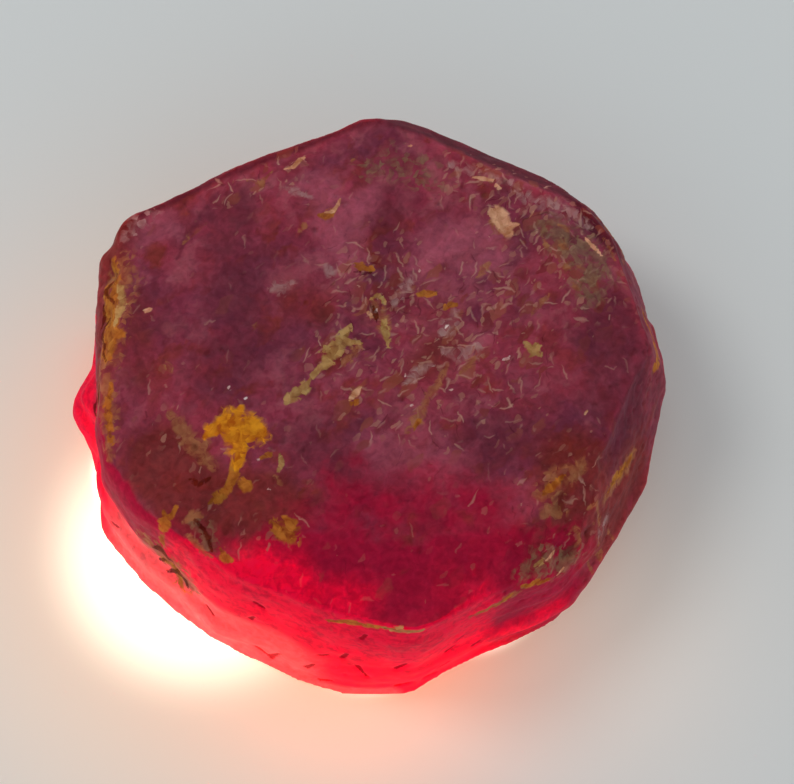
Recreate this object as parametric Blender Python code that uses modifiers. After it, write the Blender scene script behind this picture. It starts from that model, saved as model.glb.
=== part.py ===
"""A raw ruby crystal: a worn, tabular, six-sided crystal that rests on its flat base face.

The crystal grew as one piece, so it is one solid. Its flat faces are cut from a block, plane by
plane. A low ledge is joined to its left side, and chips are taken off its edges. The outline is then
worn round, and growth steps, lumps and etched pits are worked into the surface.

Dimensions are in millimetres and degrees, and MM turns them into Blender's metres. +Z is up, -Y is
the front, and the origin lies on the base under the middle of the bounding box.
"""

import math
from typing import NamedTuple

import bmesh
import bpy
from mathutils import Euler, Vector, noise

MM = 0.001

# Driving dimensions.
HEIGHT = 12.0  # from the base to the top face
STOCK = 60.0  # side of the block that the faces are cut from
ROUGH_BASE = 0.45  # how far the weathered underside reaches below the flat base face that cuts it
GRAIN = 0.26  # side of the surface's squares while it is being weathered
WEAR_PASSES = 6  # smoothing passes that round the worn edges
DULLING_PASSES = 2  # smoothing passes after the relief has been worked in
TRIANGLES = 10800  # of the weathered surface, before its underside is cut off


class Face(NamedTuple):
    """A flat crystal face.

    bearing is its direction in plan, from +X, tilt is how far it looks up, and reach is its
    distance from the crystal's axis at the height called level.
    """

    bearing: float
    tilt: float
    reach: float
    level: float


class Chip(NamedTuple):
    """A flat-sided chip off an edge: a block at a place, turned about X, Y and Z."""

    place: tuple[float, float, float]
    size: tuple[float, float, float]
    turn: tuple[float, float, float]


class Scoop(NamedTuple):
    """A shell-shaped break: the part of a sphere that reaches into the crystal."""

    place: tuple[float, float, float]
    radius: float


class Pit(NamedTuple):
    """A pit etched into the surface round a place near it."""

    place: tuple[float, float, float]
    radius: float
    depth: float


class Patch(NamedTuple):
    """A stretch of the surface that is rougher than the rest."""

    place: tuple[float, float, float]
    radius: float
    strength: float


CRYSTAL_FACES = {
    "top": Face(0, 90, 0, HEIGHT),
    "top_right": Face(5, 76, 9.0, HEIGHT),
    "top_back_left": Face(128, 82, 11.0, HEIGHT),
    "top_front_left": Face(-143, 73, 10.8, HEIGHT),
    "back_left": Face(114.5, 6, 14.9, 8),
    "back": Face(92, 9, 15.6, 8),
    "back_right": Face(66, 8, 14.4, 8),
    "back_right_shoulder": Face(64, 42, 14.0, 10.4),
    "back_right_corner": Face(52, 10, 14.75, 8),
    "right_back_corner": Face(36, 12, 15.05, 8),
    "right_back": Face(15, 14, 14.7, 7.5),
    "right": Face(-8, 14, 15.05, 6.5),
    "right_front": Face(-22, 16, 14.25, 5),
    "right_front_slope": Face(-39, 50, 11.9, 11.4),
    "right_front_shoulder": Face(-37, 28, 14.1, 8.6),
    "front_right_corner": Face(-46, 6, 14.7, 4),
    "front_right": Face(-63, 1, 14.5, 4),
    "front": Face(-91, 2, 15.9, 4),
    "front_left_bend": Face(-103, 5, 15.9, 4),
    "front_left": Face(-114, 7, 15.9, 4),
    "front_left_slope": Face(-120, 47, 14.5, 11.9),
    "front_left_corner": Face(-129, 9, 16.4, 4),
    "left_front": Face(-144, 8, 17.35, 4),
    "left_front_shoulder": Face(-146, 42, 16.4, 10.2),
    "left_front_corner": Face(-165, 7, 18.0, 4),
    "left": Face(180, 4, 17.2, 8),
    "left_shoulder": Face(177, 38, 15.9, 11.8),
    "left_back_bevel": Face(134, 50, 16.3, HEIGHT),
    "left_back_corner": Face(146, 8, 18.3, 8),
    "under_right": Face(-5, -25, 15.3, 5),
    "under_right_front": Face(-30, -14, 14.7, 4),
    "under_right_back": Face(40, -15, 14.7, 5),
    "under_back_right": Face(63, -14, 14.5, 6),
    "under_back_left": Face(114.5, -12, 15.0, 6),
    "under_left": Face(180, -6, 17.8, 2),
    "rough_base": Face(0, -90, 0, -ROUGH_BASE),
}

# The ledge's faces are measured from its own middle.
LEDGE_MIDDLE = (-13.6, 0.3, 0.0)
LEDGE_FACES = {
    "ledge_top": Face(180, 58, 3.8, 5.6),
    "ledge_side": Face(178, 12, 5.4, 2.5),
    "ledge_front": Face(-150, 12, 4.9, 2.5),
    "ledge_front_end": Face(-105, 14, 3.8, 2.5),
    "ledge_back": Face(146, 14, 4.7, 2.5),
    "ledge_back_end": Face(105, 16, 3.9, 2.5),
    "ledge_inside": Face(0, 0, 4.0, 2.5),
    "ledge_under": Face(180, -30, 5.4, 1.5),
    "ledge_base": Face(0, -90, 0, -ROUGH_BASE),
}

CHIPS = {
    "left_seam": Chip((-18.7, 0.2, 7.4), (3.4, 6.6, 1.5), (4, -10, 3)),
    "left_back_step": Chip((-18.4, 8.8, 8.6), (3.6, 3.8, 12.0), (0, 4, 12)),
    "right_notch": Chip((16.0, -4.4, 5.2), (2.4, 1.1, 5.0), (10, -6, 20)),
    "front_right_step": Chip((10.6, -14.9, 2.6), (5.6, 3.4, 6.0), (0, -8, 34)),
    "back_step": Chip((5.0, 17.0, 3.2), (12.0, 4.6, 2.4), (0, 0, -24)),
}

SCOOPS = {
    "front_left_slope": Scoop((-11.6, -17.2, 16.6), 6.4),
    "front_right_edge": Scoop((8.4, -17.4, 11.6), 4.6),
    "under_back": Scoop((-9.0, 19.4, 1.5), 5.6),
    "right_corner": Scoop((20.0, 4.6, 2.2), 5.6),
}

PITS = (
    Pit((-10.4, -8.4, 11.4), 1.15, 0.60),
    Pit((-9.2, -9.7, 11.2), 0.85, 0.50),
    Pit((-13.4, -10.6, 9.9), 1.05, 0.60),
    Pit((-11.7, -12.1, 9.6), 0.95, 0.55),
    Pit((-17.0, -1.8, 8.6), 0.95, 0.65),
    Pit((-17.0, -4.0, 7.4), 0.90, 0.65),
    Pit((-16.8, 1.4, 9.2), 0.85, 0.55),
    Pit((-16.2, 5.4, 10.8), 0.85, 0.50),
    Pit((-16.3, 3.0, 10.6), 0.80, 0.45),
    Pit((-5.9, 0.2, 12.0), 0.90, 0.32),
    Pit((-4.2, 2.2, 12.0), 1.10, 0.38),
    Pit((-3.0, 3.4, 12.0), 0.90, 0.34),
    Pit((-1.1, 4.8, 12.0), 0.95, 0.42),
    Pit((8.8, -8.2, 11.4), 1.10, 0.50),
    Pit((12.0, -5.4, 10.6), 1.20, 0.50),
    Pit((10.6, -9.4, 9.2), 1.10, 0.55),
    Pit((9.2, -10.8, 9.6), 1.30, 0.55),
    Pit((-7.4, -12.6, 10.6), 0.75, 0.40),
    Pit((-6.8, -15.2, 5.6), 0.70, 0.40),
    Pit((-2.2, -16.3, 3.6), 0.70, 0.35),
    Pit((2.6, -15.9, 2.9), 0.75, 0.40),
    Pit((10.7, 8.4, 11.3), 1.10, 0.35),
    Pit((3.0, 14.8, 6.4), 1.30, 0.65),
    Pit((-6.0, 12.9, 5.0), 1.20, 0.60),
    Pit((-10.2, 11.6, 8.2), 1.00, 0.55),
    Pit((14.4, 3.9, 5.0), 1.10, 0.60),
    Pit((13.2, 8.0, 7.6), 0.90, 0.45),
    Pit((9.0, 12.2, 6.2), 1.00, 0.50),
)

ROUGH_PATCHES = (
    Patch((11.6, -7.6, 9.6), 5.6, 1.0),
    Patch((-16.4, 3.6, 10.0), 4.2, 0.9),
    Patch((-12.6, -10.6, 9.8), 3.4, 0.6),
    Patch((11.4, 8.2, 11.0), 3.6, 0.6),
    Patch((-17.0, -1.8, 7.6), 3.4, 0.8),
    Patch((6.0, 14.0, 3.0), 6.5, 0.7),
    Patch((-13.0, 11.0, 3.5), 5.5, 0.7),
    Patch((6.6, -13.6, 7.4), 4.0, 0.5),
)

# The growth steps that run round the crystal's walls.
STEP_SPACING = 1.9
STEP_RISE = 0.45  # the share of the spacing that a step takes to rise
STEP_THROW = 0.26
STEP_BEND = 1.3  # how far a step wanders up and down

WORN_FRONT = (-3.0, -16.0, 5.0)  # the middle of the worn stretch of the front walls
WORN_REACH = 15.0
RAGGEDNESS = 0.7  # how far a pit's rim strays from round

SWELL = 6.5  # width and height of the broadest swellings
SWELL_HEIGHT = 0.34
LUMP = 2.1  # width and height of the lumps
LUMP_HEIGHT = 0.12
KNOB = 1.25  # width and height of the knobs on rough stretches
KNOB_HEIGHT = 0.26


def clear_scene() -> None:
    """Removes the objects that the scene starts with."""
    for existing in list(bpy.data.objects):
        bpy.data.objects.remove(existing, do_unlink=True)


def new_collection(name: str) -> bpy.types.Collection:
    """Makes a collection and links it to the scene."""
    collection = bpy.data.collections.new(name)
    bpy.context.scene.collection.children.link(collection)
    return collection


def new_object(name: str, bm: bmesh.types.BMesh, home: bpy.types.Collection) -> bpy.types.Object:
    """Turns bm into an object in the collection called home."""
    mesh = bpy.data.meshes.new(name)
    bm.to_mesh(mesh)
    bm.free()
    made = bpy.data.objects.new(name, mesh)
    home.objects.link(made)
    return made


def as_cutter(tool: bpy.types.Object) -> bpy.types.Object:
    """Marks a helper, so that it is not part of the crystal."""
    tool.hide_render = True
    tool.display_type = "WIRE"
    return tool


def cut_crystal(
    name: str, faces: dict[str, Face], middle: tuple[float, float, float], home: bpy.types.Collection
) -> bpy.types.Object:
    """Cuts a block down to the flat faces, one plane at a time."""
    bm = bmesh.new()
    bmesh.ops.create_cube(bm, size=STOCK * MM)
    for face in faces.values():
        bearing = math.radians(face.bearing)
        tilt = math.radians(face.tilt)
        plan = Vector((math.cos(bearing), math.sin(bearing), 0.0))
        outward = plan * math.cos(tilt) + Vector((0.0, 0.0, math.sin(tilt)))
        on_face = (Vector(middle) + plan * face.reach + Vector((0.0, 0.0, face.level))) * MM
        bmesh.ops.bisect_plane(
            bm,
            geom=bm.verts[:] + bm.edges[:] + bm.faces[:],
            dist=0.0001 * MM,
            plane_co=on_face,
            plane_no=outward,
            clear_outer=True,
        )
        rim = [edge for edge in bm.edges if edge.is_boundary]
        if rim:
            bmesh.ops.contextual_create(bm, geom=rim)
    bmesh.ops.recalc_face_normals(bm, faces=bm.faces)
    return new_object(name, bm, home)


def chip_cutter(name: str, chip: Chip, home: bpy.types.Collection) -> bpy.types.Object:
    """Makes the block that a flat-sided chip is cut with."""
    bm = bmesh.new()
    bmesh.ops.create_cube(bm, size=1.0)
    bmesh.ops.scale(bm, vec=Vector(chip.size) * MM, verts=bm.verts)
    cutter = as_cutter(new_object(name, bm, home))
    cutter.location = Vector(chip.place) * MM
    cutter.rotation_euler = Euler([math.radians(angle) for angle in chip.turn])
    return cutter


def scoop_cutter(name: str, scoop: Scoop, home: bpy.types.Collection) -> bpy.types.Object:
    """Makes the ball that a shell-shaped break is cut with."""
    bm = bmesh.new()
    bmesh.ops.create_icosphere(bm, subdivisions=4, radius=scoop.radius * MM)
    cutter = as_cutter(new_object(name, bm, home))
    cutter.location = Vector(scoop.place) * MM
    return cutter


def combine(body: bpy.types.Object, tool: bpy.types.Object, operation: str) -> None:
    """Joins tool to the body, or cuts it from the body."""
    boolean = body.modifiers.new(f"{operation.lower()}_{tool.name}", "BOOLEAN")
    boolean.operation = operation
    boolean.object = tool


def finished_mesh(source: bpy.types.Object) -> bmesh.types.BMesh:
    """Returns the object's mesh with all its modifiers applied."""
    bpy.context.view_layer.update()
    evaluated = source.evaluated_get(bpy.context.evaluated_depsgraph_get())
    bm = bmesh.new()
    bm.from_mesh(evaluated.to_mesh())
    evaluated.to_mesh_clear()
    return bm


def resurface(body: bpy.types.Object) -> None:
    """Gives the body an even surface of small squares and rounds its edges a little."""
    remesh = body.modifiers.new("even_surface", "REMESH")
    remesh.mode = "VOXEL"
    remesh.voxel_size = GRAIN * MM
    wear = body.modifiers.new("worn_edges", "SMOOTH")
    wear.factor = 0.5
    wear.iterations = WEAR_PASSES


def fade(distance: float, radius: float) -> float:
    """Falls smoothly from 1 at no distance to 0 at the radius."""
    share = min(distance / radius, 1.0)
    return 1.0 - share * share * (3.0 - 2.0 * share)


def roughness_at(point: Vector) -> float:
    """Says how rough the surface is at a point, from 0 to 1."""
    return max(
        patch.strength * fade((point - Vector(patch.place)).length, patch.radius) for patch in ROUGH_PATCHES
    )


def plate_throw(plate: int) -> float:
    """Says how far one growth plate stands out from the wall."""
    return 2.0 * noise.noise(Vector((plate * 3.7, 0.4, 1.9)))


def growth_step(point: Vector, outward: Vector) -> float:
    """Height of the growth steps, which show on the steep walls and fade out on the worn front."""
    steepness = fade(abs(outward.z), 0.75)
    wander = STEP_BEND * noise.noise(Vector((point.x, point.y, 0.0)) / 5.0)
    level = (point.z + wander) / STEP_SPACING
    plate = math.floor(level)
    above = 1.0 - fade(level - plate, STEP_RISE)
    throw = plate_throw(plate - 1) + (plate_throw(plate) - plate_throw(plate - 1)) * above
    worn = fade((point - Vector(WORN_FRONT)).length, WORN_REACH)
    return STEP_THROW * throw * steepness * (1.0 - 0.85 * worn)


def pit_depth(point: Vector, pit: Pit) -> float:
    """Depth of one pit at a point. The pit's rim is ragged."""
    away = (point - Vector(pit.place)).length
    if away > 1.6 * pit.radius:
        return 0.0
    ragged = 1.0 + RAGGEDNESS * noise.noise(point * 1.2 / pit.radius)
    return pit.depth * fade(away * ragged, pit.radius)


def relief_at(point: Vector, outward: Vector) -> float:
    """Height of the weathered surface above the flat faces, in millimetres."""
    rough = roughness_at(point)
    height = SWELL_HEIGHT * noise.noise(point / SWELL)
    height += LUMP_HEIGHT * (0.5 + rough) * noise.noise(point / LUMP + Vector((5.0, 0.0, 2.0)))
    cells = noise.voronoi(point / KNOB)[0]
    height += KNOB_HEIGHT * rough * (cells[1] - cells[0] - 0.35)
    height += growth_step(point, outward)
    return height - sum(pit_depth(point, pit) for pit in PITS)


def weather(bm: bmesh.types.BMesh) -> None:
    """Moves the surface in and out along its own direction by the weathered relief."""
    bm.normal_update()
    heights = [relief_at(vert.co / MM, vert.normal) for vert in bm.verts]
    outward = [vert.normal.copy() for vert in bm.verts]
    for vert, height, direction in zip(bm.verts, heights, outward):
        vert.co += direction * height * MM


def thin_out(body: bpy.types.Object) -> None:
    """Dulls the sharpest points and leaves the triangles that the shape needs."""
    dull = body.modifiers.new("dulled_points", "SMOOTH")
    dull.factor = 0.5
    dull.iterations = DULLING_PASSES
    triangulate = body.modifiers.new("triangles", "TRIANGULATE")
    triangulate.quad_method = "BEAUTY"
    thin = body.modifiers.new("fewer_triangles", "DECIMATE")
    thin.ratio = TRIANGLES / (2 * len(body.data.polygons))


def base_cutter(home: bpy.types.Collection) -> bpy.types.Object:
    """Makes the block that cuts the underside off flat, so that the crystal rests on its base face."""
    bm = bmesh.new()
    bmesh.ops.create_cube(bm, size=STOCK * MM)
    cutter = as_cutter(new_object("base_plane", bm, home))
    cutter.location.z = -STOCK / 2 * MM
    return cutter


def stand_on_origin(bm: bmesh.types.BMesh) -> None:
    """Puts the origin on the base, under the middle of the bounding box."""
    low = Vector(min(vert.co[axis] for vert in bm.verts) for axis in range(3))
    high = Vector(max(vert.co[axis] for vert in bm.verts) for axis in range(3))
    middle = (low + high) / 2
    bmesh.ops.translate(bm, vec=-Vector((middle.x, middle.y, low.z)), verts=bm.verts)


def ruby_material() -> bpy.types.Material:
    """Translucent plum-red corundum with the dull gloss of a worn surface."""
    ruby = bpy.data.materials.new("raw_ruby")
    ruby.use_nodes = True
    shader = ruby.node_tree.nodes["Principled BSDF"]
    shader.inputs["Base Color"].default_value = (0.19, 0.035, 0.062, 1.0)
    shader.inputs["Roughness"].default_value = 0.42
    shader.inputs["Metallic"].default_value = 0.0
    shader.inputs["IOR"].default_value = 1.77
    return ruby


def build() -> bpy.types.Object:
    """Makes the crystal."""
    clear_scene()
    part = new_collection("raw_ruby_crystal")
    tools = new_collection("cutters")
    body = as_cutter(cut_crystal("crystal_faces", CRYSTAL_FACES, (0.0, 0.0, 0.0), tools))
    ledge = as_cutter(cut_crystal("ledge_faces", LEDGE_FACES, LEDGE_MIDDLE, tools))
    combine(body, ledge, "UNION")
    for name, chip in CHIPS.items():
        combine(body, chip_cutter(name, chip, tools), "DIFFERENCE")
    for name, scoop in SCOOPS.items():
        combine(body, scoop_cutter(name, scoop, tools), "DIFFERENCE")
    resurface(body)
    surface = finished_mesh(body)
    weather(surface)
    fine = as_cutter(new_object("weathered_surface", surface, tools))
    thin_out(fine)
    combine(fine, base_cutter(tools), "DIFFERENCE")
    finished = finished_mesh(fine)
    stand_on_origin(finished)
    crystal = new_object("ruby_crystal", finished, part)
    crystal.data.materials.append(ruby_material())
    crystal.data.shade_smooth()
    crystal.data.set_sharp_from_angle(angle=math.radians(35))
    return crystal


build()
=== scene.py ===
"""The looks of a raw ruby crystal: its weathered skin and stains, the paper it lies on, and the light.

The crystal's flat faces, ledge, steps and pits come from its solid. Here that solid gets the finer relief
of an etched skin, small nicks, and a ruby finish with ochre, olive and brown mineral in its hollows.
The finish also holds painted glow from below along the front, painted shade on the back rim and tiny
painted glints.
Lengths in this file are in millimetres unless a name says otherwise, and MM turns them into metres.
"""

import logging
import math
from dataclasses import dataclass
from enum import Enum
from typing import Any

import bmesh
import bpy
import numpy as np
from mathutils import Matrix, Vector
from mathutils.bvhtree import BVHTree


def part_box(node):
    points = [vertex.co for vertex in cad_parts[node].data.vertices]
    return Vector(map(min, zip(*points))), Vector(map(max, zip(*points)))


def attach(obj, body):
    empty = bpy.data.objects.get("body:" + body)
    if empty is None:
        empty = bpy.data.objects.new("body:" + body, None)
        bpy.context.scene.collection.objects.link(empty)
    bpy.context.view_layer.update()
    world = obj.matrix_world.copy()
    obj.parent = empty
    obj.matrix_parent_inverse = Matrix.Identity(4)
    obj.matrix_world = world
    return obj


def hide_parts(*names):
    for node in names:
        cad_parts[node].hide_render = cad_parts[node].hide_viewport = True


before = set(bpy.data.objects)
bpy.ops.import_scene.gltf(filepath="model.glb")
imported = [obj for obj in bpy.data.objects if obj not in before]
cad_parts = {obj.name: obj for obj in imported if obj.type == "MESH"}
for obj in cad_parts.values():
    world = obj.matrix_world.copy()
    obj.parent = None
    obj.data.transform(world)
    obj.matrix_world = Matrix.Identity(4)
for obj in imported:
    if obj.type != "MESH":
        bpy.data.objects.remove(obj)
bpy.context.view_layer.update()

LOG = logging.getLogger("ruby")
MM = 0.001
NODE = "ruby_crystal"
STREAK_TURN = -0.95  # radians: silk, steps and cracks run this way across the top

Point = tuple[float, ...]
Pair = tuple[float, float]
Source = Any  # what feeds a socket: a value, a node, whose first output is meant, or one of its outputs

MATH = "ShaderNodeMath"
VECTOR_MATH = "ShaderNodeVectorMath"
VECTOR_ROTATE = "ShaderNodeVectorRotate"
SEPARATE_XYZ = "ShaderNodeSeparateXYZ"
MAP_RANGE = "ShaderNodeMapRange"
MIX = "ShaderNodeMix"
NOISE = "ShaderNodeTexNoise"
VORONOI = "ShaderNodeTexVoronoi"
ATTRIBUTE = "ShaderNodeAttribute"
POSITION = "GeometryNodeInputPosition"


class Mark(Enum):
    """What colours or breaks a stretch of the skin. Its value is the name of the mesh attribute."""

    VEIL = "veil"  # milky pink under the skin
    GLOOM = "gloom"  # dark plum, where the crystal is thick and flawed
    RUST = "rust"  # brownish, where iron has soaked into the skin
    SHADE = "shade"  # painted shade: brownish, on sides that no light shines through
    PAINTED_EMBER = "ember"  # painted glow: deep crimson, where light from below would seep through
    CLEAR = "clear"  # clean, see-through ruby, with painted glow of bright red as if lit from below
    ROSE_AND_GLOW = "rose"  # thin, pale edges that let most light through, with painted glow of pale pink
    SCUFF = "scuff"  # where small chips and scratches lie thick
    FROST = "frost"  # bruised, greyish skin
    MOSS = "moss"  # dark olive film
    TAN = "tan"  # thin film of clay, through which the ruby shows
    OCHRE = "ochre"  # rusty clay
    OLIVE = "olive"  # olive-yellow mica and clay packed in cracks
    AMBER = "amber"  # the thick orange patch of iron stain
    PEACH = "peach"  # pale broken flakes
    PAINTED_GLINT = "glint"  # painted glints: near-white specks that stand in for highlights off fresh facets
    BROWN = "brown"  # dark iron stain in slits and small pits
    NICK = "nick"  # slits that the geometry sinks
    ROUGH = "rough"  # broken, grainy skin


@dataclass(frozen=True)
class Trace:
    """A mark along a path on the skin.

    On the top face a path holds (x, y) points, which are dropped onto the crystal from above. On its sides
    it holds (bearing, height) points, in degrees from +X and in mm, which are cast inwards. width is how far
    the mark reaches, and a third number at a point is the share of that width there, so that it can taper.
    """

    mark: Mark
    width: float
    path: tuple[Point, ...]
    strength: float = 1.0


@dataclass(frozen=True)
class WallZone:
    """A mark that covers a whole stretch of the walls, up to the edge of the top face."""

    mark: Mark
    first: float  # bearing in degrees where it starts
    last: float
    low: float = -2.0  # height where it starts
    high: float = 14.0
    fade: float = 8.0  # degrees over which it fades at both ends
    soften: float = 2.0  # millimetres over which it fades above and below
    strength: float = 1.0


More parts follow.
